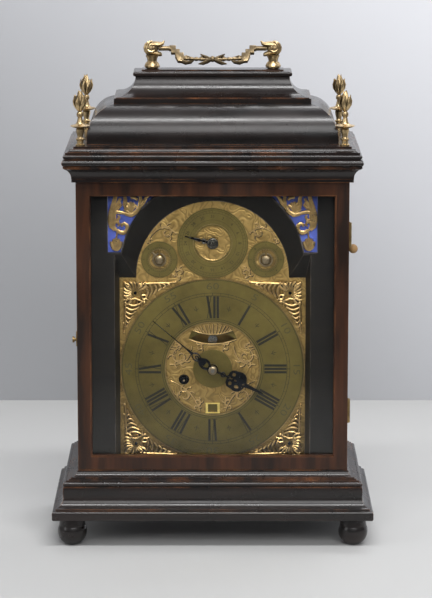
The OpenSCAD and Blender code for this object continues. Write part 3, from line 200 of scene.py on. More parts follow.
# %% [markdown]
# Rubbed edges: the Bevel node returns the normal that a rounded edge would have. Where that
# differs from the true normal there is an edge, and a noise breaks the line up, as hands and
# dusters do.

# %% Node group for rubbed edges
def make_rubbed_edges():
    group, given, end = new_group(
        "rubbed edges",
        [("Radius", NUMBER, 0.001), ("Reach", NUMBER, 3), ("Scale", NUMBER, 60), ("Cover", NUMBER, 0.5)],
        [("Mask", NUMBER)],
    )
    rounded = node(group, "ShaderNodeBevel", {"Radius": given["Radius"]}, samples=4).outputs["Normal"]
    true = node(group, "ShaderNodeNewGeometry").outputs["Normal"]
    edge = maths(group, "SUBTRACT", 1, dot(group, rounded, true))
    strong = maths(group, "MULTIPLY", edge, given["Reach"], use_clamp=True)
    patches = noise(group, own_place(group), given["Scale"], 4, 0.65)
    broken = ramp(group, patches, given["Cover"], 0.75)
    feed(group, end, {"Mask": maths(group, "MULTIPLY", strong, broken, use_clamp=True)})
    return group


rubbed_edges = make_rubbed_edges()
print("made the group", rubbed_edges.name)


# %% [markdown]
# Wood grain: one noise is stretched along the grain for the streaks and a finer one for the
# pores. The caller passes stretched coordinates, so one group serves rails and uprights.

# %% Node group for wood grain
def make_wood_grain():
    group, given, end = new_group(
        "wood grain",
        [
            ("Vector", VECTOR, (0, 0, 0)), ("Light", COLOUR, (0.1, 0.05, 0.03, 1)),
            ("Dark", COLOUR, (0, 0, 0, 1)),
        ],
        [("Color", COLOUR), ("Height", NUMBER)],
    )
    streaks = noise(group, given["Vector"], 90, 6, 0.6, 0.4)
    pores = noise(group, given["Vector"], 900)
    colour = blend(group, ramp(group, streaks, 0.35, 0.7), given["Dark"], given["Light"])
    feed(group, end, {"Color": colour, "Height": maths(group, "MULTIPLY_ADD", streaks, 0.35, pores)})
    return group


wood_grain = make_wood_grain()
print("made the group", wood_grain.name)


# %% [markdown]
# Old metal: broad clouds of tarnish over the clean colour, and small pits and scratches that
# also dull the shine.

# %% Node group for the skin of old metal
def make_old_metal():
    group, given, end = new_group(
        "old metal",
        [
            ("Clean", COLOUR, (0.8, 0.6, 0.3, 1)), ("Tarnish", COLOUR, (0.2, 0.15, 0.07, 1)),
            ("Scale", NUMBER, 40), ("Share", NUMBER, 0.5), ("Smooth", NUMBER, 0.25), ("Dull", NUMBER, 0.55),
        ],
        [("Color", COLOUR), ("Roughness", NUMBER), ("Height", NUMBER)],
    )
    place = own_place(group)
    clouds = noise(group, place, given["Scale"], 6, 0.62)
    specks = noise(group, place, 1400)
    share = ramp(group, clouds, given["Share"], 0.8)
    feed(group, end, {
        "Color": blend(group, share, given["Clean"], given["Tarnish"]),
        "Roughness": ramp(group, share, 0, 1, given["Smooth"], given["Dull"]),
        "Height": maths(group, "MULTIPLY_ADD", clouds, 0.4, specks),
    })
    return group


old_metal = make_old_metal()
print("made the group", old_metal.name)

# %% [markdown]
# Ebonised wood is pear or oak stained black and polished. Age lets the brown show through in
# streaks, and the edges of the mouldings are rubbed to a warm orange brown. Grain runs along
# each piece, so one version has level grain and one upright.

# %% Polished woods
def make_wood(name, grain, light, dark, rubbed, roughness, cover, reach=4.0, coat=0.0, rough_skin=0.2,
              shine=0.45):
    """Polished wood. A larger reach widens its rubbed edges, and a larger cover leaves fewer."""
    material, tree, shader = new_finish(name)
    place = own_place(tree)
    along = node(tree, "ShaderNodeMapping", {"Vector": place, "Scale": grain}).outputs["Vector"]
    wood = use_group(tree, wood_grain, {"Vector": along, "Light": shade(light), "Dark": shade(dark)})
    edges = use_group(tree, rubbed_edges, {"Radius": 0.0011, "Reach": reach, "Scale": 38, "Cover": cover})
    smears = noise(tree, place, 14, 5, 0.6)
    feed(tree, shader, {
        "Base Color": blend(tree, edges["Mask"], wood["Color"], shade(rubbed)),
        "Roughness": ramp(tree, smears, 0.3, 0.7, roughness - 0.07, roughness + 0.1),
        "Normal": relief(tree, wood["Height"], rough_skin, 0.0002),
        "Coat Weight": coat, "Coat Roughness": 0.1, "Specular IOR Level": shine,
    })
    return material


LEVEL = (0.12, 0.12, 1)
UPRIGHT = (1, 1, 0.1)
ebony_level = make_wood(
    "ebonised_level", LEVEL, "#241a17", "#100d0c", "#a8693c", 0.24, 0.42, reach=4.5, coat=0.12)
ebony_upright = make_wood(
    "ebonised_upright", UPRIGHT, "#261b17", "#110d0c", "#8a5636", 0.27, 0.42, reach=5, coat=0.25)
mask_black = make_wood(
    "mask_black", LEVEL, "#14110d", "#0b0908", "#8c8076", 0.5, 0.42, reach=8, coat=0.1, rough_skin=0,
    shine=0.2)
door_red = make_wood(
    "door_wood", UPRIGHT, "#482713", "#1e1008", "#96623c", 0.38, 0.38, coat=0.12, rough_skin=0.12,
    shine=0.35)
inner_wood = make_wood("plain_wood", LEVEL, "#3c2a1b", "#241910", "#5d452e", 0.6, 0.5)


# %% [markdown]
# Metals: gilded castings are the brightest, the engraved plates are plain brass gone brown, the
# rings have lost their silvering and look greenish, and the movement's brass is cleaner.

# %% Metals
# Heights in metres between which painted light makes metal brighter towards the top
TOP_LIGHT_FOOT = 0.1
TOP_LIGHT_TOP = 0.31


def make_metal(name, clean, tarnish, scale, share, smooth, dull, painted_top_light=False, crevice_shade=0):
    """Old metal. It can be made brighter towards the top, which is painted light, and darker in crevices of
    a given depth, which is painted shade with some dirt.
    """
    material, tree, shader = new_finish(name)
    skin = use_group(tree, old_metal, {
        "Clean": shade(clean), "Tarnish": shade(tarnish), "Scale": scale, "Share": share,
        "Smooth": smooth, "Dull": dull,
    })
    colour = skin["Color"]
    # Painted light: the colour is made brighter towards the top, as where the lamps above fall on it
    if painted_top_light:
        height = node(tree, "ShaderNodeSeparateXYZ", {"Vector": own_place(tree)}).outputs["Z"]
        colour = scaled(tree, colour, ramp(tree, height, TOP_LIGHT_FOOT, TOP_LIGHT_TOP, 0.8, 1.4))
    # Painted shade with some dirt: ambient occlusion darkens crevices and the plate under raised parts, and
    # brightens open faces
    if crevice_shade:
        opening = node(tree, "ShaderNodeAmbientOcclusion", {"Distance": crevice_shade}, samples=6)
        colour = scaled(tree, colour, ramp(tree, opening.outputs["AO"], 0.25, 0.75, 0.22, 1.15))
    feed(tree, shader, {
        "Base Color": colour, "Roughness": skin["Roughness"], "Metallic": 1,
        "Normal": relief(tree, skin["Height"], 0.2, 0.0001),
    })
    return material


# The gilts and dial_brass are darkened in their crevices: painted shade, with some dirt
old_gilt = make_metal("old_gilt", "#c6ad82", "#5a4a36", 110, 0.4, 0.32, 0.5, crevice_shade=0.003)
worn_gilt = make_metal("worn_gilt", "#8e7c5f", "#40362a", 110, 0.38, 0.34, 0.5, crevice_shade=0.003)
gilt = make_metal("gilt", "#d0ae76", "#66502f", 90, 0.42, 0.26, 0.48, crevice_shade=0.003)
case_brass = make_metal("case_brass", "#b09668", "#57442a", 70, 0.35, 0.3, 0.55)
# dial_brass and silvered are painted brighter towards the top: painted light
dial_brass = make_metal("dial_brass", "#ab8e57", "#67532c", 35, 0.4, 0.4, 0.6, painted_top_light=True, crevice_shade=0.005)
silvered = make_metal("silvered", "#786b3c", "#4d4426", 22, 0.38, 0.46, 0.6, painted_top_light=True)
movement_brass = make_metal("movement_brass", "#a0844a", "#66502a", 30, 0.45, 0.3, 0.45)
bell_metal = make_metal("bell_metal", "#c8b890", "#8c7c58", 25, 0.45, 0.2, 0.35)
blued_steel = make_metal("blued_steel", "#23262c", "#0c0c0e", 80, 0.45, 0.22, 0.4)
bright_steel = make_metal("bright_steel", "#8f8e8a", "#55504a", 60, 0.45, 0.25, 0.5)
worn_steel = make_metal("worn_steel", "#6a675f", "#2b2926", 150, 0.4, 0.25, 0.45)
rubbed_brass = make_metal("rubbed_brass", "#94846a", "#5c503c", 120, 0.45, 0.38, 0.55)
frame_brass = make_metal("frame_brass", "#e6cf7c", "#a8914a", 60, 0.5, 0.5, 0.65)


def make_engraved():
    """Brass with shallow curling cuts all over, as worn leaf engraving looks from a distance"""
    # The copy keeps the painted light towards the top and the painted shade in crevices of dial_brass
    material = dial_brass.copy()
    material.name = "engraved_brass"
    tree = material.node_tree
    shader = tree.nodes["Principled BSDF"]
    plain = shader.inputs["Base Color"].links[0].from_socket
    hills = noise(tree, own_place(tree), 85, 0.6, distortion=0.5)
    cuts = maths(tree, "SINE", maths(tree, "MULTIPLY", hills, 46))
    feed(tree, shader, {
        "Base Color": scaled(tree, plain, ramp(tree, cuts, -1, 0.2, 0.72, 1.02)),
        "Normal": relief(tree, cuts, 0.35, 0.0003),
    })
    return material


engraved_brass = make_engraved()


# %% Engraver's wax, boxwood and glass
def make_plain(name, light, dark, scale, roughness):
    material, tree, shader = new_finish(name)
    clouds = noise(tree, own_place(tree), scale, 4)
    feed(tree, shader, {
        "Base Color": blend(tree, clouds, shade(light), shade(dark)),
        "Roughness": roughness, "Specular IOR Level": 0.3,
        "Normal": relief(tree, clouds, 0.3, 0.0001),
    })
    return material


black_wax = make_plain("black_wax", "#1a1913", "#0b0b08", 500, 0.8)
faded_wax = make_plain("faded_wax", "#322c18", "#1c190e", 700, 0.8)
ghost_wax = make_plain("ghost_wax", "#5a5230", "#37311a", 900, 0.7)
boxwood = make_plain("boxwood", "#c09a68", "#8f6c44", 90, 0.45)


def make_glass():
    """Glass that lets the lamps' light through, so the dial behind it isn't dark"""
    material, tree, shader = new_finish("old_glass")
    feed(tree, shader, {
        "Base Color": (0.97, 0.98, 0.97, 1), "Roughness": 0, "IOR": 1.28, "Transmission Weight": 1,
    })
    clear_where(tree, shader, node(tree, "ShaderNodeLightPath").outputs["Is Shadow Ray"])
    return material


old_glass = make_glass()

# %% Put the finishes on the CAD parts
by_slot = {
    "ebonised": ebony_level, "door_wood": door_red, "plain_wood": inner_wood, "clear_glass": old_glass,
    "gilt": gilt, "case_brass": case_brass, "dial_brass": dial_brass, "silvered": silvered,
    "movement_brass": movement_brass, "bell_metal": bell_metal, "blued_steel": blued_steel,
    "bright_steel": bright_steel, "silk": inner_wood, "boxwood": boxwood,
}
by_node = {
    "case_side_left": ebony_upright, "case_side_right": ebony_upright,
    "back_door_frame": ebony_upright, "dial_mask": mask_black, "subsidiary_rings": silvered,
    "date_ring": silvered, "alarm_disc": silvered, "dial_plate": engraved_brass,
    # The winding arbors get the dark blued finish as painted shade inside the winding holes
    "going_winder": blued_steel, "strike_winder": blued_steel,
}
for part in frame["record"]["subparts"]:
    name = part["node"]
    finish = by_node.get(name, by_slot[part["material_slot"]])
    mesh = frame["nodes"][name].data
    mesh.materials.clear()
    mesh.materials.append(finish)

# %% [markdown]
# ## Making new pieces
# Flat work on the dial is drawn looking at the dial: x to the right, y up and z towards the
# viewer, from the dial's centre. One matrix then stands it up in the clock. Small meshes are
# gathered into one piece, so each ornament ends as a single clean object.

# %% Helpers for making pieces
DIAL = Matrix((
    (MM, 0, 0, 0),
    (0, 0, -MM, ring_y * MM),
    (0, MM, 0, centre_z * MM),
    (0, 0, 0, 1),
))
IN_PLACE = Matrix.Scale(MM, 4)
# How far the faces of the dial plate and of the small rings lie behind the chapter ring's face
PLATE_FACE = -1.6
RING_FACE = -0.6
TOP_DIAL = (0, 121.7)
SMALL_DIALS = ((-50.5, 106), (50.5, 106))


def move(bm, matrix):
    bmesh.ops.transform(bm, matrix=matrix, verts=bm.verts)


def add_mesh(target, source, matrix=None):
    """Adds one bmesh to another and frees it"""
    if matrix is not None:
        move(source, matrix)
    mesh = bpy.data.meshes.new("part")
    source.to_mesh(mesh)
    source.free()
    target.from_mesh(mesh)
    bpy.data.meshes.remove(mesh)


def mirrored_pair(target, make, out=0, y=0, z=0):
    """Adds a shape at the right and its mirror image at the left, each moved outwards"""
    for side in (1, -1):
        half = make()
        if side < 0:
            bmesh.ops.scale(half, vec=(-1, 1, 1), verts=half.verts)
        add_mesh(target, half, Matrix.Translation((side * out, y, z)))


def finish_piece(bm, name, finish, body, matrix=IN_PLACE, smooth=True, stands_for=()):
    """Turns a bmesh drawn in millimetres into a named piece that rides on a body"""
    bmesh.ops.remove_doubles(bm, verts=bm.verts, dist=0.0005)
    move(bm, matrix)
    bmesh.ops.recalc_face_normals(bm, faces=bm.faces)
    for face in bm.faces:
        face.smooth = smooth
    mesh = bpy.data.meshes.new(name)
    bm.to_mesh(mesh)
    bm.free()
    mesh.materials.append(finish)
    if smooth:
        mesh.set_sharp_from_angle(angle=math.radians(40))
    piece = bpy.data.objects.new(name, mesh)
    bpy.context.scene.collection.objects.link(piece)
    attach(piece, body)
    if stands_for:
        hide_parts(*stands_for)
    print(name, "has", len(mesh.polygons), "faces")
    return piece


def turned(profile, steps=40):
    """A turned shape round the z axis from (radius, height) points, closed at both ends"""
    bm = bmesh.new()
    points = [bm.verts.new((radius, 0, height)) for radius, height in profile]
    edges = [bm.edges.new(pair) for pair in zip(points, points[1:])]
    bmesh.ops.spin(bm, geom=points + edges, axis=(0, 0, 1), cent=(0, 0, 0), steps=steps,
                   angle=math.tau, use_merge=True, dvec=(0, 0, 0))
    bmesh.ops.remove_doubles(bm, verts=bm.verts, dist=0.001)
    bmesh.ops.holes_fill(bm, edges=[edge for edge in bm.edges if edge.is_boundary], sides=0)
    return bm


def sweep(path, sizes, sides=8, up=(0, 0, 1)):
    """A bar along a path. sizes are its half width and half height at each point of the path."""
    bm = bmesh.new()
    bmesh.ops.create_circle(bm, segments=sides, radius=1)
    ring = list(bm.edges)
    points = [Vector(point) for point in path]
    before = Matrix.Identity(4)
    ends = [ring]
    for i, point in enumerate(points):
        along = (points[min(i + 1, len(points) - 1)] - points[max(i - 1, 0)]).normalized()
        side = along.cross(Vector(up)).normalized()
        rise = side.cross(along)
        wide, high = sizes[i]
        place = Matrix((
            (*(side * wide), 0), (*(rise * high), 0), (*along, 0), (*point, 1),
        )).transposed()
        if i:
            made = bmesh.ops.extrude_edge_only(bm, edges=ring)["geom"]
            ring = [part for part in made if isinstance(part, bmesh.types.BMEdge)]
            ring = [edge for edge in ring if edge.is_boundary]
        moving = list({vert for edge in ring for vert in edge.verts})
        bmesh.ops.transform(bm, matrix=place @ before.inverted(), verts=moving)
        before = place
    ends.append(ring)
    for end in ends:
        bmesh.ops.edgeloop_fill(bm, edges=end)
    return bm


def rectangle(left, low, right, high):
    return [(left, low), (right, low), (right, high), (left, high)]


def both_sides(profile):
    """A symmetric outline from the half widths at several heights"""
    left = [(-half, y) for half, y in reversed(profile) if half]
    return left[-1:] + profile + left[:-1]


def plate(outline, low, high):
    """A flat plate between two heights from the corners of its outline"""
    bm = bmesh.new()
    face = bm.faces.new([bm.verts.new((x, y, low)) for x, y in outline])
    made = bmesh.ops.extrude_face_region(bm, geom=[face])["geom"]
    lifted = [part for part in made if isinstance(part, bmesh.types.BMVert)]
    bmesh.ops.translate(bm, vec=(0, 0, high - low), verts=lifted)
    return bm


def soften(bm, least, width):
    """Rounds the edges that turn by more than the least angle, in radians"""
    sharp = [edge for edge in bm.edges if edge.calc_face_angle(0) > least]
    bmesh.ops.bevel(bm, geom=sharp, offset=width, offset_type="OFFSET", affect="EDGES", segments=2,
                    profile=0.5, material=-1)


def ball(radius, across, up):
    """A sphere with a number of faces across and up"""
    bm = bmesh.new()
    bmesh.ops.create_uvsphere(bm, u_segments=across, v_segments=up, radius=radius)
    return bm


def flat_ring(outer, inner, low, high, segments=128):
    """A flat washer between two heights"""
    bm = bmesh.new()
    edges = []
    for radius in (outer, inner):
        made = bmesh.ops.create_circle(bm, segments=segments, radius=radius)["verts"]
        edges += list({edge for vert in made for edge in vert.link_edges})
    faces = bmesh.ops.bridge_loops(bm, edges=edges)["faces"]
    made = bmesh.ops.extrude_face_region(bm, geom=faces)["geom"]
    lifted = [part for part in made if isinstance(part, bmesh.types.BMVert)]
    bmesh.ops.translate(bm, vec=(0, 0, high - low), verts=lifted)
    bmesh.ops.translate(bm, vec=(0, 0, low), verts=bm.verts)
    return bm


def spiral(centre, start_radius, end_radius, start_angle, turn, points=18):
    """Points along a spiral in the plane. Angles are in degrees."""
    path = []
    for i in range(points):
        share = i / (points - 1)
        angle = math.radians(start_angle + turn * share)
        radius = start_radius + (end_radius - start_radius) * share
        path.append((centre[0] + radius * math.cos(angle), centre[1] + radius * math.sin(angle), 0))
    return path


def tapered(count, wide, high, start=0.35, end=0.12):
    """Half sizes that swell to the full size at a third of the length and end in a point"""
    sizes = []
    for i in range(count):
        share = i / (count - 1)
        swell = start + (1 - start) * min(1, share * 3)
        fall = 1 - (1 - end) * max(0, (share - 0.33) / 0.67) ** 1.4
        sizes.append((wide * swell * fall, high * swell * fall))
    return sizes


def bow(start, end, bend, points=9):
    """Points on a bowed line between two points, bent to its left by a share of its length"""
    a, b = Vector(start), Vector(end)
    along = b - a
    across = Vector((-along.y, along.x))
    path = []
    for i in range(points):
        share = i / (points - 1)
        point = a + along * share + across * bend * 4 * share * (1 - share)
        path.append((point.x, point.y, 0))
    return path


def bowed_bar(start, end, bend, points, wide, high, ends=(0.35, 0.12), sides=8):
    return sweep(bow(start, end, bend, points), tapered(points, wide, high, *ends), sides)


# %% [markdown]
# ## The chapter ring
# The hours are engraved and filled with black wax. Only the thick strokes have kept their wax
# well. Strokes are thin plates that lie on the ring, with their feet towards the centre.

# %% Hour numerals
NUMERALS = ["XII", "I", "II", "III", "IIII", "V", "VI", "VII", "VIII", "IX", "X", "XI"]
NUMERAL_LOW = 49.5
NUMERAL_HIGH = 70.5
THICK = 2.2
THIN = 0.6
ADVANCE = {"I": 3.3, "V": 6.2, "X": 6.6}
WAX_HIGH = 0.08
LINE_HIGH = 0.05


def stroke(x0, x1, wide):
    """A stroke that leans from x0 at the foot to x1 at the head of a numeral"""
    half = wide / 2
    outline = [
        (x0 - half, NUMERAL_LOW), (x0 + half, NUMERAL_LOW),
        (x1 + half, NUMERAL_HIGH), (x1 - half, NUMERAL_HIGH),
    ]
    return plate(outline, 0, WAX_HIGH)


def numeral(text):
    thick, thin = bmesh.new(), bmesh.new()
    x = -sum(ADVANCE[letter] for letter in text) / 2
    for letter in text:
        wide = ADVANCE[letter]
        lean = (wide - THICK) / 2 - 0.5
        middle = x + wide / 2
        if letter == "I":
            add_mesh(thick, stroke(middle, middle, THICK))
        elif letter == "V":
            add_mesh(thick, stroke(middle, middle - lean, THICK))
            add_mesh(thin, stroke(middle + 0.3, middle + lean + 0.4, THIN))
        else:
            add_mesh(thick, stroke(middle + lean, middle - lean, THICK))
            add_mesh(thin, stroke(middle - lean, middle + lean, THIN))
        for height in (NUMERAL_LOW, NUMERAL_HIGH):
            serif = rectangle(x + 0.3, height - 0.2, x + wide - 0.3, height + 0.2)
            add_mesh(thin, plate(serif, 0, WAX_HIGH))
        x += wide
    return thick, thin


thick_wax, thin_wax = bmesh.new(), bmesh.new()
for hour, text in enumerate(NUMERALS):
    turn = Matrix.Rotation(-hour * math.tau / 12, 4, "Z")
    thick, thin = numeral(text)
    add_mesh(thick_wax, thick, turn)
    add_mesh(thin_wax, thin, turn)
finish_piece(thick_wax, "hour_numerals", black_wax, "case", DIAL, smooth=False)

# %% [markdown]
# Two fine circles hold the minute marks. Small fleurs stand at the half hours, and the minutes
# are numbered in fives near the edge. These thin lines have lost most of their wax.

# %% Minute circles, marks and half-hour fleurs
TRACK_LOW = 71.2
TRACK_HIGH = 73.8
for radius in (46.6, 48.4, TRACK_LOW, TRACK_HIGH, 86.2):
    add_mesh(thin_wax, flat_ring(radius + 0.2, radius - 0.2, 0, LINE_HIGH))
for minute in range(60):
    turn = Matrix.Rotation(minute * math.tau / 60, 4, "Z")
    half = 0.28 if minute % 5 == 0 else 0.13
    add_mesh(thin_wax, plate(rectangle(-half, TRACK_LOW, half, TRACK_HIGH), 0, LINE_HIGH), turn)
for hour in range(12):
    turn = Matrix.Rotation((hour + 0.5) * math.tau / 12, 4, "Z")
    add_mesh(thin_wax, plate(both_sides([(0.25, 57.5), (0.35, 61), (0, 63.8)]), 0, WAX_HIGH), turn)
    for side in (-1, 1):
        add_mesh(thin_wax, bowed_bar((0, 59), (side * 1.7, 61.6), -side * 0.3, 6, 0.3, 0.08), turn)


def number(text, size, spot, angle=0.0, stretch=1.0):
    """A plain number as thin raised strokes, centred at a spot and turned round the dial"""
    curve = bpy.data.curves.new("number", "FONT")
    curve.body = text
    curve.size = size
    curve.extrude = 0.03
    curve.resolution_u = 3
    curve.align_x = "CENTER"
    curve.align_y = "CENTER"
    holder = bpy.data.objects.new("number", curve)
    mesh = bpy.data.meshes.new_from_object(holder)
    bm = bmesh.new()
    bm.from_mesh(mesh)
    bpy.data.objects.remove(holder)
    bpy.data.curves.remove(curve)
    bpy.data.meshes.remove(mesh)
    place = Matrix.Rotation(-angle, 4, "Z") @ Matrix.Translation(Vector(spot))
    move(bm, place @ Matrix.Diagonal((stretch, 1, 1, 1)))
    return bm


finish_piece(thin_wax, "minute_track", faded_wax, "case", DIAL, smooth=False)
ghosts = bmesh.new()
for minute in range(5, 65, 5):
    add_mesh(ghosts, number(str(minute), 9.2, (0, 80.0, 0), minute * math.tau / 60, 1.4))
finish_piece(ghosts, "minute_numbers", ghost_wax, "case", DIAL, smooth=False)

# Painted highlights: thin bright brass rings at the edges of the chapter ring and round the three small
# rings, where their edges catch the light
edges = bmesh.new()
add_mesh(edges, flat_ring(45.7, 44.9, -0.1, 0.12))
add_mesh(edges, flat_ring(88.0, 87.4, -0.1, 0.1))
for spot, radius in ((TOP_DIAL, 18.4), (SMALL_DIALS[0], 10), (SMALL_DIALS[1], 10)):
    rim_highlight = flat_ring(radius + 0.3, radius - 0.3, -0.7, -0.3, 64)
    add_mesh(edges, rim_highlight, Matrix.Translation((*spot, 0)))
finish_piece(edges, "ring_edge_highlights", case_brass, "case", DIAL)

# %% [markdown]
# ## Spandrels
# A cast and gilded mount fills each corner of the dial: a leafy boss in the corner, and two
# long scrolls that run out along the edges with ribs curling off them. Half of one mount is
# drawn and mirrored over the diagonal, then the mount is mirrored into the four corners.

# %% Corner spandrels
MOUNT_CORNER = 85.6
SCREW = 12


def mount_bar(half, path, wide, high=1.7, ends=(0.75, 0.5)):
    """A rounded bar of the casting. Its path gives distances from the mount's outer corner."""
    points = [(-along, -down, 1.0) for along, down in path]
    add_mesh(half, sweep(points, tapered(len(points), wide, high, *ends), 8))


def mount_knob(half, along, down, radius):
    add_mesh(half, ball(radius, 14, 8), Matrix.Translation((-along, -down, 0.7)))


def spandrel_half():
    """The half of a mount that runs along the dial's top edge"""
    half = bmesh.new()
    mount_bar(half, [(15, 3.4), (24, 2.6), (34, 2.2), (43, 2.0), (50.5, 1.2)], 1.2, 1.2, (0.9, 0.6))
    mount_knob(half, 50.4, 1.3, 1.2)
    mount_knob(half, 21.5, 2.6, 1.8)
    for i in range(6):
        top = 22.2 + 4.2 * i
        foot = 18.4 - 2.75 * i
        rib = []
        for step in range(9):
            share = step / 8
            rib.append((top + 1.7 * math.sin(share * 4.4 - 0.6), 2.6 + (foot - 2.6) * share))
        mount_bar(half, rib, 1.3 - 0.07 * i, 1.8 - 0.1 * i, (0.6, 0.7))
    for tip in ((40.6, 1.2), (44.6, 3.6)):
        middle = (41, 0.4) if tip[1] < 2 else (43, 2.4)
        mount_bar(half, [(41, 2.2), middle, tip], 0.8, 0.9)
    for i in range(6):
        angle = math.radians(45 + 19 * i)
        reach = min((SCREW - 1.2) / max(math.sin(angle), 0.6), 13.6)
        fan = []
        for step in range(7):
            radius = 3.6 + (reach - 3.6) * step / 6
            bend = angle + 0.16 * math.sin(step / 6 * math.pi)
            fan.append((SCREW - radius * math.cos(bend), SCREW - radius * math.sin(bend)))
        mount_bar(half, fan[::-1], 1.45, 1.8, (0.7, 0.4))
    mount_bar(half, [(15.8, 2.6), (17.8, 7.5), (17.2, 12.5), (19.2, 17), (21, 20.6)], 1.1, 1.3, (0.8, 0.8))
    mount_bar(half, [(18, 14), (21, 13.6), (24, 14.8)], 1.0)
    mount_bar(half, [(19, 17.6), (22, 17.4), (24.6, 18.4)], 1.0)
    return half


def spandrel():
    mount = spandrel_half()
    over_diagonal = Matrix(((0, 1, 0, 0), (1, 0, 0, 0), (0, 0, 1, 0), (0, 0, 0, 1)))
    add_mesh(mount, spandrel_half(), over_diagonal)
    for step in (2.4, 5.6, 20.6):
        mount_knob(mount, step, step, 1.9)
    return mount


spandrels, screws = bmesh.new(), bmesh.new()
for turn_x in (1, -1):
    for turn_y in (1, -1):
        flip = Matrix.Diagonal((turn_x, turn_y, 1, 1))
        corner = Matrix.Translation((turn_x * MOUNT_CORNER, turn_y * MOUNT_CORNER, PLATE_FACE))
        add_mesh(spandrels, spandrel(), corner @ flip)
        screw = turned([(0, -0.8), (1.5, -0.8), (1.5, 0.5), (1.1, 0.9), (0, 0.9)], 20)
        spot = MOUNT_CORNER - SCREW
        add_mesh(screws, screw, Matrix.Translation((turn_x * spot, turn_y * spot, PLATE_FACE + 0.8)))
finish_piece(spandrels, "spandrel_castings", gilt, "case", DIAL, stands_for=["corner_spandrels"])
finish_piece(screws, "spandrel_screws", blued_steel, "case", DIAL)

# %% [markdown]
# ## The dial's centre
# The middle is engraved with scrolling leaves and with a shell over the curved window, and a
# frame stands round the date. Each cut is a thin bright ribbon, and a dark strip offset to its lower right
# is painted shadow.

# %% Engraved centre
lines, painted_shadows = bmesh.new(), bmesh.new()


def engrave(path, wide=0.6):
    """A cut as a bright raised burr, with a dark strip of painted shadow offset to its lower right"""
    widths = [wide * (0.5 + math.sin(math.pi * (i + 0.5) / len(path)) * 0.7) for i in range(len(path))]
    burr = sweep(path, [(width, 0.32) for width in widths], 6)
    shadow_strip = sweep(path, [(width, 0.05) for width in widths], 4)
    add_mesh(lines, burr, Matrix.Translation((0, 0, PLATE_FACE)))
    # Painted shadow: a dark strip offset to the lower right of each cut
    add_mesh(painted_shadows, shadow_strip, Matrix.Translation((0.6, -0.6, PLATE_FACE)))


def engraved_scroll(centre, radius, start, turn, leaves):
    curl = spiral(centre, radius, radius * 0.22, start, turn, 22)
    hand = 1 if turn > 0 else -1
    engrave(curl, 0.75)
    for i in range(leaves):
        root = Vector(curl[int(i / leaves * 14)][:2])
        away = (root - Vector(centre)).normalized()
        across = Vector((-away.y, away.x)) * hand
        engrave(bow(root, root + away * radius * 0.5 + across * radius * 0.55, -0.25 * hand, 6))
        engrave(bow(root, root - away * radius * 0.3 + across * radius * 0.3, 0.2 * hand, 5), 0.34)


def scroll_pair(x, y, radius, start, turn, leaves):
    """A scroll at the right of the middle and its mirror image at the left"""
    engraved_scroll((x, y), radius, start, turn, leaves)
    engraved_scroll((-x, y), radius, 180 - start, -turn, leaves)


scroll_pair(31, 12, 8.5, 90, -420, 6)
scroll_pair(36, 25, 4.6, 200, 330, 4)
scroll_pair(27, -27, 8.2, -70, 400, 6)
scroll_pair(15, -33, 4.4, -60, -340, 4)
scroll_pair(13, 20.5, 3.6, 60, 330, 3)
for side in (-1, 1):
    engrave(bow((side * 20, 22), (side * 41, 4), side * -0.25, 10))
    engrave(bow((side * 40, -12), (side * 12, -42), side * -0.12, 12))

# The curved window is a slot round a point above the centre, and the shell's ribs stand on it
APERTURE = Vector((0, 79))
SLOT_TOP = 45.2
for i in range(-6, 7):
    x = i * 2.6
    low = Vector((x, APERTURE.y - math.sqrt(SLOT_TOP ** 2 - x ** 2)))
    away = (low - Vector((0, 20))).normalized()
    high = low.copy()
    while high.length < 43.8 - 0.03 * i * i:
        high += away * 0.2
    engrave(bow(low, high, 0, 4), 0.62)
for radius, wide in ((45.7, 0.55), (55.3, 0.5)):
    arc = [math.radians(270 + turn) for turn in range(-24, 25, 3)]
    engrave([(radius * math.cos(a), APERTURE.y + radius * math.sin(a), 0) for a in arc], wide)
finish_piece(lines, "centre_engraving", gilt, "case", DIAL)
finish_piece(painted_shadows, "centre_painted_shadow", faded_wax, "case", DIAL)

date_frame = bmesh.new()
for x in (-5.6, 5.6):
    add_mesh(date_frame, plate(rectangle(x - 1.1, -43.6, x + 1.1, -33.8), PLATE_FACE, PLATE_FACE + 0.5))
for y in (-43.3, -34.2):
    add_mesh(date_frame, plate(rectangle(-6.9, y - 0.6, 6.9, y + 0.6), PLATE_FACE, PLATE_FACE + 0.6))
finish_piece(date_frame, "date_frame", frame_brass, "case", DIAL, smooth=False)

# %% [markdown]
# ## The small dials in the arch
# Three rings stand in the arch: a wide one in the middle and two small ones for regulating.
# Each has fine circles, radial marks and plain numbers, all nearly worn away.

# %% Engraving on the small rings
ring_lines = bmesh.new()


def engraved_ring(centre, circles, marks, mark_radii, numbers, number_radius, size):
    place = Matrix.Translation((*centre, RING_FACE))
    low, high = mark_radii
    for radius in circles:
        add_mesh(ring_lines, flat_ring(radius + 0.12, radius - 0.12, 0, LINE_HIGH, 64), place)
    for i in range(marks):
        turn = Matrix.Rotation(i * math.tau / marks, 4, "Z")
        add_mesh(ring_lines, plate(rectangle(-0.1, low, 0.1, high), 0, LINE_HIGH), place @ turn)
    for i, figure in enumerate(numbers):
        angle = i * math.tau / len(numbers)
        add_mesh(ring_lines, number(str(figure), size, (0, number_radius, 0), angle), place)


days = [31, *range(2, 31, 2)]
engraved_ring(TOP_DIAL, (18.2, 22.4, 29.0, 31.4, 33.0), 62, (29.0, 31.4), days, 25.6, 4.2)
for spot in SMALL_DIALS:
    engraved_ring(spot, (10.3, 12.0, 16.6), 36, (10.3, 12.0), range(1, 9), 14.3, 3.0)
finish_piece(ring_lines, "small_ring_engraving", faded_wax, "case", DIAL, smooth=False)

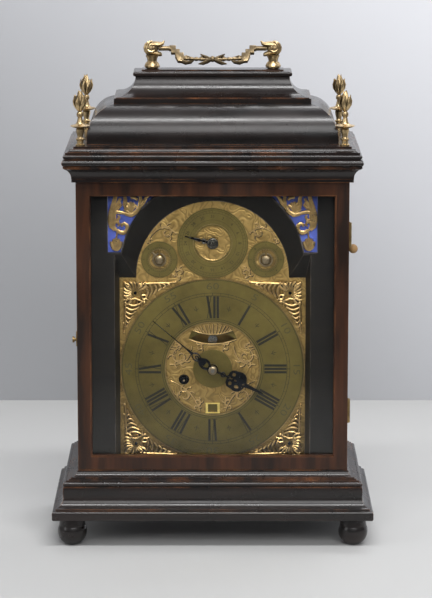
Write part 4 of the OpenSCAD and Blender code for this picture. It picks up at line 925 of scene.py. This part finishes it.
# The arch engraving also gets dark strips of painted shadow beside its cuts
lines, painted_shadows = bmesh.new(), bmesh.new()
scroll_pair(44, 132, 6.5, 40, 380, 4)
scroll_pair(31, 93.5, 5.0, -90, 360, 4)
scroll_pair(58, 124, 4.0, 200, 300, 3)
for side in (-1, 1):
    engrave(bow((side * 34, 131), (side * 60, 126), side * 0.3, 9))
engrave(spiral(TOP_DIAL, 16.4, 16.4, 200, 130, 30), 0.35)
finish_piece(lines, "arch_engraving", gilt, "case", DIAL)
finish_piece(painted_shadows, "arch_painted_shadow", faded_wax, "case", DIAL)

# %% [markdown]
# ## Hands
# The hands are pierced and filed from steel and blued nearly black. Loops of flat bar and a
# tapered blade make each one, and a domed brass collet with a cross pin holds them on.

# %% Hour and minute hands
HOUR_ANGLE = 116
MINUTE_ANGLE = 310.4
ARCH_ANGLE = 285
HOUR_HIGH = 3.9
MINUTE_HIGH = 7.9


def clockwise(angle):
    return Matrix.Rotation(-math.radians(angle), 4, "Z")


def loop(centre, radius, wide, high, stretch=1.0, points=20):
    """A closed ring of bar, flattened or stretched along y"""
    path = spiral((0, 0), radius, radius, 0, 360, points)
    path = [(centre[0] + x, centre[1] + y * stretch, 0) for x, y, z in path]
    return sweep(path, [(wide, high)] * points, 6)


def blade(profile, half):
    """A flat symmetric blade with softened edges, from its half widths and half its thickness"""
    bm = plate(both_sides(profile), -half, half)
    soften(bm, 1, 0.18)
    return bm


hour = bmesh.new()
add_mesh(hour, flat_ring(5.2, 4.1, -0.5, 0.5, 48))
add_mesh(hour, blade([(1.1, 4.7), (0.8, 17.5)], 0.5))
add_mesh(hour, loop((0, 11.2), 2.1, 0.55, 0.5))
for side in (-1, 1):
    add_mesh(hour, loop((side * 4.6, 20.6), 3.0, 1.4, 0.6))
    add_mesh(hour, loop((side * 5.2, 27.6), 3.3, 1.6, 0.6, 1.1))
    strands = (((1.0, 16.5), (8.6, 23.8), -0.25, 0.6), ((8.2, 22.8), (1.2, 34), -0.3, 0.7))
    for foot, head, bend, end in strands:
        start, stop = (side * foot[0], foot[1]), (side * head[0], head[1])
        add_mesh(hour, bowed_bar(start, stop, side * bend, 9, 1.1, 0.55, (0.8, end), 6))
add_mesh(hour, loop((0, 24.4), 1.9, 1.2, 0.6, 1.3))
add_mesh(hour, loop((0, 32.4), 2.3, 1.4, 0.6))
add_mesh(hour, blade([(2.0, 34.6), (1.5, 44), (0.7, 51.5), (0, 54)], 0.5))
move(hour, Matrix.Translation((0, 0, HOUR_HIGH)) @ clockwise(HOUR_ANGLE))
finish_piece(hour, "hour_hand_pierced", blued_steel, "hour", DIAL, stands_for=["hour_hand"])

minute = bmesh.new()
add_mesh(minute, flat_ring(4.2, 2.6, -0.5, 0.5, 40))
for side in (-1, 1):
    for foot, foot_x, head, head_x, wide in ((3.8, 1.0, 16, 1.0, 1.35), (15.2, 0.9, 25.5, 0.6, 0.75)):
        bar = bowed_bar((side * foot_x, foot), (side * head_x, head), side * -0.24, 8, wide, 0.55, (1, 1), 6)
        add_mesh(minute, bar)
add_mesh(minute, blade([(2.3, 9.5), (2.5, 13.5), (1.5, 17.5)], 0.45))
add_mesh(minute, loop((0, 19.6), 1.3, 0.6, 0.55, 1.4))
add_mesh(minute, blade([(1.5, 24.6), (1.0, 29.5), (0.55, 34), (0.34, 74), (0, 75)], 0.45))
move(minute, Matrix.Translation((0, 0, MINUTE_HIGH)) @ clockwise(MINUTE_ANGLE))
finish_piece(minute, "minute_hand_pierced", blued_steel, "minute", DIAL,
             stands_for=["minute_hand"])

collet = turned([(0, 0), (4.0, 0), (4.0, 0.5), (3.3, 1.0), (2.1, 1.3), (0, 1.4)], 32)
pin = sweep([(-2.6, 0, 1.5), (2.6, 0, 1.5)], [(0.35, 0.35), (0.25, 0.25)], 8)
add_mesh(collet, pin, Matrix.Rotation(0.5, 4, "Z"))
move(collet, Matrix.Translation((0, 0, MINUTE_HIGH + 0.5)))
finish_piece(collet, "minute_collet", rubbed_brass, "minute", DIAL)

# A small bright brass dome on each winding arbor's end is a painted highlight
for part, body in (("going_winder", "going_square"), ("strike_winder", "strike_square")):
    low, high = box_mm(part)
    tip = turned([(0, -0.2), (0.9, -0.2), (0.9, 0.1), (0.5, 0.35), (0, 0.4)], 20)
    move(tip, Matrix.Translation(((low.x + high.x) / 2, (low.z + high.z) / 2 - centre_z, ring_y - low.y)))
    finish_piece(tip, part + "_end_highlight", rubbed_brass, body, DIAL)

# %% [markdown]
# The hand in the arch is a blued blade on a round boss. The two small dials have turned brass
# knobs with a short pointer, by which the clock was regulated.

# %% Arch hand and regulator knobs
boss = [(0, 0), (5.0, 0), (5.0, 0.9), (4.2, 1.3), (3.6, 1.3), (3.2, 2.3), (1.6, 2.6), (0, 2.6)]
arch_hand = turned(boss, 36)
on_boss = Matrix.Translation((0, 0, 0.5))
add_mesh(arch_hand, blade([(1.5, 4), (1.0, 12.5)], 0.4), on_boss)
add_mesh(arch_hand, loop((0, 8.6), 1.9, 0.7, 0.45), on_boss)
add_mesh(arch_hand, blade([(1.7, 12.2), (0.9, 20), (0.35, 26.4), (0, 27)], 0.4), on_boss)
move(arch_hand, Matrix.Translation((*TOP_DIAL, 0.7)) @ clockwise(ARCH_ANGLE))
finish_piece(arch_hand, "arch_hand_blade", worn_steel, "top_pointer", DIAL)

for side, spot, angle in (("left", SMALL_DIALS[0], 318), ("right", SMALL_DIALS[1], 0)):
    knob = turned([
        (0, 0), (2.6, 0), (2.6, 0.8), (3.3, 1.2), (4.1, 2.6), (4.1, 3.2), (3.5, 3.8), (2.0, 4.3), (0, 4.5),
    ], 36)
    add_mesh(knob, flat_ring(6.6, 5.2, 0, 0.6, 40))
    pointer = blade([(1.6, 2.4), (0.9, 6.6), (0.45, 9.4), (0, 9.8)], 0.35)
    add_mesh(knob, pointer, Matrix.Translation((0, 0, 0.45)))
    move(knob, Matrix.Translation((*spot, 0.2)) @ clockwise(angle))
    finish_piece(knob, side + "_regulator_knob", rubbed_brass, side + "_regulator", DIAL)

# %% [markdown]
# ## Silk and frets
# Blue silk shows in the two corner windows of the mask, so that the bell sounds through it. It
# is glued behind the wood and cut to the window. The gilt fret in front is pierced and chased:
# a tulip at the foot, a stem with a curl, and leaves that climb the outer edge.

# %% Silk behind the corner windows
MASK_ARC = Vector((0, 100))
WINDOW_OUT = 98.6
WINDOW_FOOT = 115.2
WINDOW_TOP = 173.0
ARC_RADIUS = 87.9
SILK_FACE = 10.8


def window_corners(steps=14):
    """The window's outline on the right, from its foot along the arc and back"""
    corners = [(WINDOW_OUT, WINDOW_FOOT), (WINDOW_OUT, WINDOW_TOP)]
    first = math.asin((WINDOW_TOP - MASK_ARC.y) / ARC_RADIUS)
    last = math.asin((WINDOW_FOOT - MASK_ARC.y) / ARC_RADIUS)
    for i in range(steps + 1):
        angle = first + (last - first) * i / steps
        corners.append((ARC_RADIUS * math.cos(angle), MASK_ARC.y + ARC_RADIUS * math.sin(angle)))
    return corners


def make_silk():
    material, tree, shader = new_finish("blue_silk")
    place = own_place(tree)
    thread = {"Vector": place, "Scale": 900, "Distortion": 0.6, "Detail": 1}
    threads = [node(tree, "ShaderNodeTexWave", thread, bands_direction=way).outputs["Fac"] for way in "XZ"]
    feed(tree, shader, {
        "Base Color": blend(tree, noise(tree, place, 60, 4), shade("#2c3794"), shade("#5166b4")),
        "Roughness": 0.55, "Sheen Weight": 0.15,
        "Normal": relief(tree, maths(tree, "MAXIMUM", *threads), 0.4, 0.0002),
    })
    return material


blue_silk = make_silk()


def silk_window(name, side, stands_for):
    bm = plate([(side * x, y) for x, y in window_corners()], SILK_FACE - 0.3, SILK_FACE)
    for step in range(6):
        height = WINDOW_FOOT + (step + 0.5) * (WINDOW_TOP - WINDOW_FOOT) / 6
        bmesh.ops.bisect_plane(bm, geom=bm.verts[:] + bm.edges[:] + bm.faces[:],
                               plane_co=(0, height, 0), plane_no=(0, 1, 0))
    for vert in bm.verts:
        vert.co.z += 0.25 * math.sin(vert.co.x * 0.9) * math.sin(vert.co.y * 0.35)
    area = sum(face.calc_area() for face in bm.faces) / 2 * MM * MM
    silk = finish_piece(bm, name, blue_silk, "case", DIAL, smooth=False, stands_for=stands_for)
    return silk


silk_window("silk_right", 1, ["mask_silk"])
silk_window("silk_left", -1, [])

# %% Gilt frets over the silk
FRET_FACE = 12.0
frets = bmesh.new()
FRET_BARS = [
    ([(9, 21.5), (11, 19.4), (14, 18.6), (17.2, 19.8), (18.6, 22.8), (18, 26), (15.6, 27.8), (13, 26.6),
      (13.4, 24.6)], 2.2),
    ([(9.5, 20.5), (6, 22.6), (5, 26), (7, 29), (10, 28.6), (10.8, 26.2), (9, 25)], 1.7),
    ([(7, 22), (3.6, 25), (2.6, 31), (3.2, 38), (5.4, 46), (8.4, 56.6)], 3.1),
    ([(5.5, 25), (5.4, 31), (6, 38), (8.6, 45), (12, 51.5)], 2.3),
    ([(6, 30), (9.4, 31), (11, 33.6), (9.6, 35.6)], 1.6),
    ([(6.5, 42), (10, 42.4), (12.4, 45), (11.4, 48)], 1.6),
    ([(5, 37.6), (9, 38.8), (13.5, 38), (18, 36.6)], 2.0),
    ([(16.6, 36.8), (22, 35.6), (27, 38.6), (30.2, 43.6), (31, 50), (30.4, 57)], 2.4),
    ([(17.4, 40), (16.4, 46), (16.6, 51), (14.6, 57.4)], 2.2),
    ([(29.6, 42), (33.5, 47), (36.5, 53), (41, 56.8)], 1.9),
    ([(28, 50), (25.4, 52.4), (22.6, 52), (21.4, 54.6)], 1.7),
    ([(21, 37), (15.4, 41.4)], 2.1),
    ([(7.8, 12), (8.9, 21)], 1.3),
]
TULIP = (7.8, 1.6)
LEAF_FAN = (21.6, 38)


def in_window(across, up):
    """A point of the right window from its distances in and up from the lower outer corner"""
    return Vector((WINDOW_OUT - across, WINDOW_FOOT + up))


def fret_half():
    """The right fret: bars, a tulip of five petals at the foot and a fan of five leaves above"""
    half = bmesh.new()
    for path, wide in FRET_BARS:
        points = [(*in_window(across, up), 0) for across, up in path]
        add_mesh(half, sweep(points, tapered(len(points), wide, 0.85, 0.7, 0.5), 8))
    for i in range(5):
        lean = i - 2
        tip = in_window(TULIP[0] - lean * 2.5, 14 - 0.9 * lean * lean)
        add_mesh(half, bowed_bar(in_window(*TULIP), tip, -0.05 * lean, 7, 1.9, 0.9, (0.5, 0.6)))
        angle = math.radians(150 - 30 * i)
        tip = in_window(LEAF_FAN[0] - 7 * math.cos(angle), LEAF_FAN[1] + 3.4 + 7 * math.sin(angle))
        add_mesh(half, bowed_bar(in_window(*LEAF_FAN), tip, 0.08 * lean, 6, 2.0, 0.9, (0.6, 0.6)))
    return half


mirrored_pair(frets, fret_half, z=FRET_FACE)
finish_piece(frets, "fret_scrolls", gilt, "case", DIAL, stands_for=["mask_frets"])

# %% [markdown]
# ## Handle
# The bail handle hangs between two cast heads that bite on its ends. It steps down square by
# square to a leaf at each elbow, and two pairs of leaves spread from the middle of its bar.

# %% Handle posts with biting heads
POST_X = 57.5
MID_Y = front_y + 70
CAP_TOP = box_mm("top_cap")[1].z
PIVOT_Z = CAP_TOP + 19.2
posts = bmesh.new()
POST_PROFILE = [
    (0, 0), (4.6, 0), (6.6, 1.0), (6.9, 3.0), (6.0, 4.8), (4.2, 6.2), (3.9, 8.4), (4.8, 10.6), (6.0, 13),
    (0, 15),
]
LOBE_PATH = [(5.6, 0, 0.6), (6.7, 0, 2.6), (5.4, 0, 5.2), (3.9, 0, 7.0), (4.3, 0, 9.6), (5.6, 0, 12.6)]
LOBE_SIZES = [(1.3, 0.6), (1.9, 0.8), (1.4, 0.7), (0.9, 0.5), (1.1, 0.6), (1.3, 0.6)]


def post_and_head():
    """The right post, drawn at its own foot with the pivot to its left"""
    bm = turned(POST_PROFILE, 40)
    for i in range(8):
        lobe = sweep(LOBE_PATH, LOBE_SIZES, 6, (1, 0, 0.2))
        add_mesh(bm, lobe, Matrix.Rotation(i * math.tau / 8, 4, "Z"))
    skull = Matrix.Translation((1.0, 0, 19.2)) @ Matrix.Diagonal((1.0, 0.82, 1.0, 1))
    add_mesh(bm, ball(7.0, 28, 16), skull)
    upper_jaw = [(1, 0, 22.4), (-3.5, 0, 23.0), (-7.5, 0, 23.0), (-10.2, 0, 24.0), (-11.6, 0, 26.4)]
    add_mesh(bm, sweep(upper_jaw, [(5.2, 3.6), (4.6, 3.0), (3.8, 2.5), (2.6, 1.7), (0.7, 0.6)], 12))
    lower_jaw = [(1, 0, 16.0), (-3.0, 0, 15.0), (-6.2, 0, 14.0), (-8.4, 0, 13.4), (-9.4, 0, 13.6)]
    add_mesh(bm, sweep(lower_jaw, [(4.8, 3.2), (4.2, 2.6), (3.4, 2.3), (2.7, 2.0), (1.4, 1.2)], 12))
    for side in (-1, 1):
        add_mesh(bm, ball(1.5, 12, 8), Matrix.Translation((-1.6, side * 5.4, 20.6)))
        brow = [(-4.2, side * 4.2, 21.6), (-1.8, side * 5.4, 23.0), (1.4, side * 5.2, 22.6),
                (3.4, side * 4.8, 20.4)]
        add_mesh(bm, sweep(brow, [(0.6, 0.6), (0.9, 0.9), (0.8, 0.8), (0.4, 0.4)], 6, (0, 1, 0)))
        cheek = [(-2.4, side * 4.6, 17.6), (0.6, side * 6.0, 16.4), (3.4, side * 5.4, 17.4),
                 (4.6, side * 4.4, 20)]
        add_mesh(bm, sweep(cheek, [(0.6, 0.6), (1.0, 0.9), (0.8, 0.8), (0.4, 0.4)], 6, (0, 1, 0)))
    for i in range(5):
        lean = (i - 2) * 0.5
        lock = []
        for step in range(7):
            angle = math.radians(100 - step * 30)
            depth = 6.0 * math.sin(lean) * abs(math.cos(angle * 0.6))
            lock.append((1.0 + 6.7 * math.cos(angle) * math.cos(lean), depth, 19.2 + 6.9 * math.sin(angle)))
        add_mesh(bm, sweep(lock, tapered(7, 0.8, 0.8, 0.6, 0.5), 6, (0, 1, 0)))
    return bm


mirrored_pair(posts, post_and_head, POST_X, MID_Y, CAP_TOP)
finish_piece(posts, "handle_heads", old_gilt, "case", stands_for=["handle_posts"])

# %% Bail handle
BAIL_DROP = 14
BAIL_REST = math.radians(-50)
STUB_END = POST_X - 6
KNEE = STUB_END - 12
bail = bmesh.new()


def bail_half():
    """The right half, hanging straight down from its pivot, in x and z"""
    half = bmesh.new()
    add_mesh(half, sweep([(STUB_END, 0, 0), (KNEE + 1, 0, 0)], [(2.4, 2.3), (2.4, 2.3)], 12))
    foot = -BAIL_DROP
    stairs = [
        (2, 2.5), (-4.6, 2.5), (-4.6, -2.4), (-8.4, -2.4), (-8.4, -6.8), (-12, -6.8), (-12.4, foot + 2.4),
        (-12, foot - 4.2), (-6.5, foot - 3.6), (-3.8, -11.4), (-3.8, -7), (0, -7), (0, -2.5), (2, -2.5),
    ]
    steps = plate([(KNEE + x, z) for x, z in stairs], -1.9, 1.9)
    soften(steps, 0.5, 0.45)
    add_mesh(half, steps, Matrix.Rotation(math.radians(90), 4, "X"))
    bar, sizes = [], []
    for i in range(25):
        share = i / 24
        bar.append(((KNEE - 8) * (1 - share), 0, foot + 0.6 * math.cos(share * math.pi)))
        swell = 1.75 + 0.4 * math.sin(share * 40)
        sizes.append((swell, swell))
    add_mesh(half, sweep(bar, sizes, 10))
    knee_leaves = [
        ([(-9, -2), (-14, -4.8), (-19, -4.2), (-22, -1.4)],
         [(2.0, 1.8), (2.8, 1.6), (2.0, 1.2), (0.5, 0.5)]),
        ([(-10, 1), (-15, 3.0), (-19, 2.4)], [(1.8, 1.4), (2.0, 1.1), (0.5, 0.4)]),
    ]
    middle_leaves = [
        ([(1, -0.5), (5, -3.0), (9, -5.6), (13.5, -6.4)], [(1.6, 1.6), (2.9, 1.5), (2.4, 1.2), (0.5, 0.4)]),
        ([(1.5, 0), (5, 1.0), (8.6, 3.4), (11.6, 6.4)], [(1.6, 1.4), (2.8, 1.5), (2.3, 1.3), (0.5, 0.4)]),
        ([(12.5, 0.3), (9.8, 2.6), (8.0, 4.8)], [(1.4, 1.0), (1.7, 0.9), (0.4, 0.4)]),
    ]
    for root, leaves in ((KNEE, knee_leaves), (0, middle_leaves)):
        for path, sizes in leaves:
            add_mesh(half, sweep([(root + x, 0, foot + z) for x, z in path], sizes, 8))
    return half


mirrored_pair(bail, bail_half)
add_mesh(bail, ball(2.9, 20, 12), Matrix.Translation((0, 0, -BAIL_DROP)))
move(bail, Matrix.Translation((0, MID_Y, PIVOT_Z)) @ Matrix.Rotation(BAIL_REST, 4, "X"))
finish_piece(bail, "leaf_handle", worn_gilt, "handle", stands_for=["bail_handle"])

# %% [markdown]
# ## Finials
# Each finial is turned below and modelled above: a ring, a waisted stem, a thin flared disc, a
# cone and ball, and then a flame whose tongues curl outwards at their tips.

# %% Finials
FINIAL_X = 123.4
FINIAL_DEPTHS = (4.6, 135.4)
tier_foot = box_mm("bell_tier_lower")[0].z
finials = bmesh.new()
FINIAL_PROFILE = [
    (0, 0), (4.4, 0), (4.4, 1.4), (3.2, 2.0), (3.0, 4.6), (3.9, 5.6), (3.9, 6.6), (2.9, 7.4), (2.5, 8.4),
    (3.5, 12.6), (3.9, 15.4), (3.2, 16.2), (4.6, 16.8), (7.4, 17.6), (9.1, 18.6), (9.25, 19.0),
    (8.6, 19.2), (5.6, 19.7), (3.8, 20.6), (2.9, 22.6), (2.1, 26.2), (2.0, 26.8), (2.9, 27.6),
    (3.2, 29.4), (2.7, 31.2), (1.6, 32.2), (1.8, 33.4), (3.0, 36), (4.0, 40), (3.8, 44), (2.2, 48),
    (0.6, 51), (0, 51.4),
]
OUTER_TONGUE = [(1.4, 0, 32.8), (3.2, 0, 35.2), (5.0, 0, 38.4), (5.7, 0.4, 41.8), (4.9, 1.2, 45.2),
                (5.4, 2.0, 47.4)]
OUTER_SIZES = [(1.0, 0.8), (1.7, 1.0), (2.1, 1.2), (1.9, 1.1), (1.2, 0.8), (0.3, 0.3)]
INNER_TONGUE = [(2.6, 0, 38), (3.4, 0.5, 42), (2.6, 1.2, 46), (1.2, 1.2, 49.4), (1.6, 0.8, 51.9)]
INNER_SIZES = [(1.4, 1.0), (1.9, 1.2), (1.5, 1.0), (0.9, 0.7), (0.2, 0.2)]


def finial():
    bm = turned(FINIAL_PROFILE, 36)
    tongues = ((6, 0.2, OUTER_TONGUE, OUTER_SIZES), (3, 0.7, INNER_TONGUE, INNER_SIZES))
    for count, first, path, sizes in tongues:
        for i in range(count):
            turn = Matrix.Rotation(i * math.tau / count + first, 4, "Z")
            add_mesh(bm, sweep(path, sizes, 8, (1, 0, 0.1)), turn)
    return bm


for x in (-FINIAL_X, FINIAL_X):
    for depth in FINIAL_DEPTHS:
        spot = Matrix.Translation((x, front_y + depth, tier_foot))
        add_mesh(finials, finial(), spot @ Matrix.Rotation(x * 0.03 + depth, 4, "Z"))
finish_piece(finials, "flame_finials", old_gilt, "case", stands_for=["finials"])

# %% [markdown]
# ## Floor and light
# The clock stands on a plain pale floor before a pale wall, which is clear from behind so
# that the back door can be seen. The wall's colour is brighter towards the upper right, as painted light.
# The floor darkens some way in front, or the pane would mirror it. One wide soft lamp hangs
# above, one fills from the front, and a weak one lights the back.

# %% Floor, wall and lamps
def backdrop_finish(name, colour, dark, towards, low, high):
    """A pale finish that falls off to a darker one, away from a direction"""
    material, tree, shader = new_finish(name)
    reach = dot(tree, own_place(tree), towards)
    fade = ramp(tree, reach, low, high, interpolation_type="SMOOTHSTEP")
    feed(tree, shader, {"Base Color": blend(tree, fade, shade(dark), shade(colour)), "Roughness": 0.9})
    return material


def backdrop(name, finish, matrix):
    bm = bmesh.new()
    bmesh.ops.create_grid(bm, x_segments=1, y_segments=1, size=1, matrix=matrix)
    mesh = bpy.data.meshes.new(name)
    bm.to_mesh(mesh)
    bm.free()
    mesh.materials.append(finish)
    sheet = bpy.data.objects.new(name, mesh)
    bpy.context.scene.collection.objects.link(sheet)


WALL_Y = 0.53
floor_place = Matrix.Translation((0, 2.0, 0)) @ Matrix.Diagonal((6, 4, 1, 1))
floor_finish = backdrop_finish("pale_floor", "#bebebd", "#565656", (0, 1, 0), -0.85, -0.36)
backdrop("floor", floor_finish, floor_place)
upright = Matrix.Rotation(math.radians(90), 4, "X") @ Matrix.Diagonal((6, 3, 1, 1))
# Painted light: the wall's colour is brighter towards the upper right and darker low down, as the lamps
# light it
wall_with_painted_light = backdrop_finish("wall_painted_light", "#f2f3f8", "#a2a3a6", (0.8, 0, 1), -0.1, 0.95)
wall_tree = wall_with_painted_light.node_tree
behind = node(wall_tree, "ShaderNodeNewGeometry").outputs["Backfacing"]
clear_where(wall_tree, wall_tree.nodes["Principled BSDF"], behind)
backdrop("wall", wall_with_painted_light, Matrix.Translation((0, WALL_Y, 2.9)) @ upright)


def lamp(name, place, aim, size, power):
    data = bpy.data.lights.new(name, "AREA")
    data.shape = "RECTANGLE"
    data.size, data.size_y = size
    data.energy = power
    light = bpy.data.objects.new(name, data)
    light.location = place
    light.rotation_euler = (Vector(aim) - Vector(place)).to_track_quat("-Z", "Y").to_euler()
    bpy.context.scene.collection.objects.link(light)


lamp("overhead", (0.15, -1.0, 2.2), (0, 0, 0.35), (1.7, 0.22), 34)
lamp("front", (0.4, -2.3, 1.6), (0, 0, 0.25), (1.6, 1.0), 24)
lamp("left", (-2.0, -1.2, 1.1), (0, 0, 0.25), (0.8, 1.6), 8)
lamp("rear", (0.1, 0.5, 1.2), (0, 0.1, 0.2), (1.4, 0.1), 5)


def make_world():
    """Pale above and darker below the horizon, where the pane looks back"""
    world = bpy.data.worlds.new("studio")
    world.use_nodes = True
    tree = world.node_tree
    direction = node(tree, "ShaderNodeTexCoord").outputs["Generated"]
    height = node(tree, "ShaderNodeSeparateXYZ", {"Vector": direction}).outputs["Z"]
    strength = ramp(tree, height, -0.05, 0.35, 0.1, 0.5)
    feed(tree, tree.nodes["Background"], {"Color": (0.84, 0.85, 0.88, 1), "Strength": strength})
    return world


bpy.context.scene.world = make_world()
bpy.context.scene.view_settings.view_transform = "Standard"
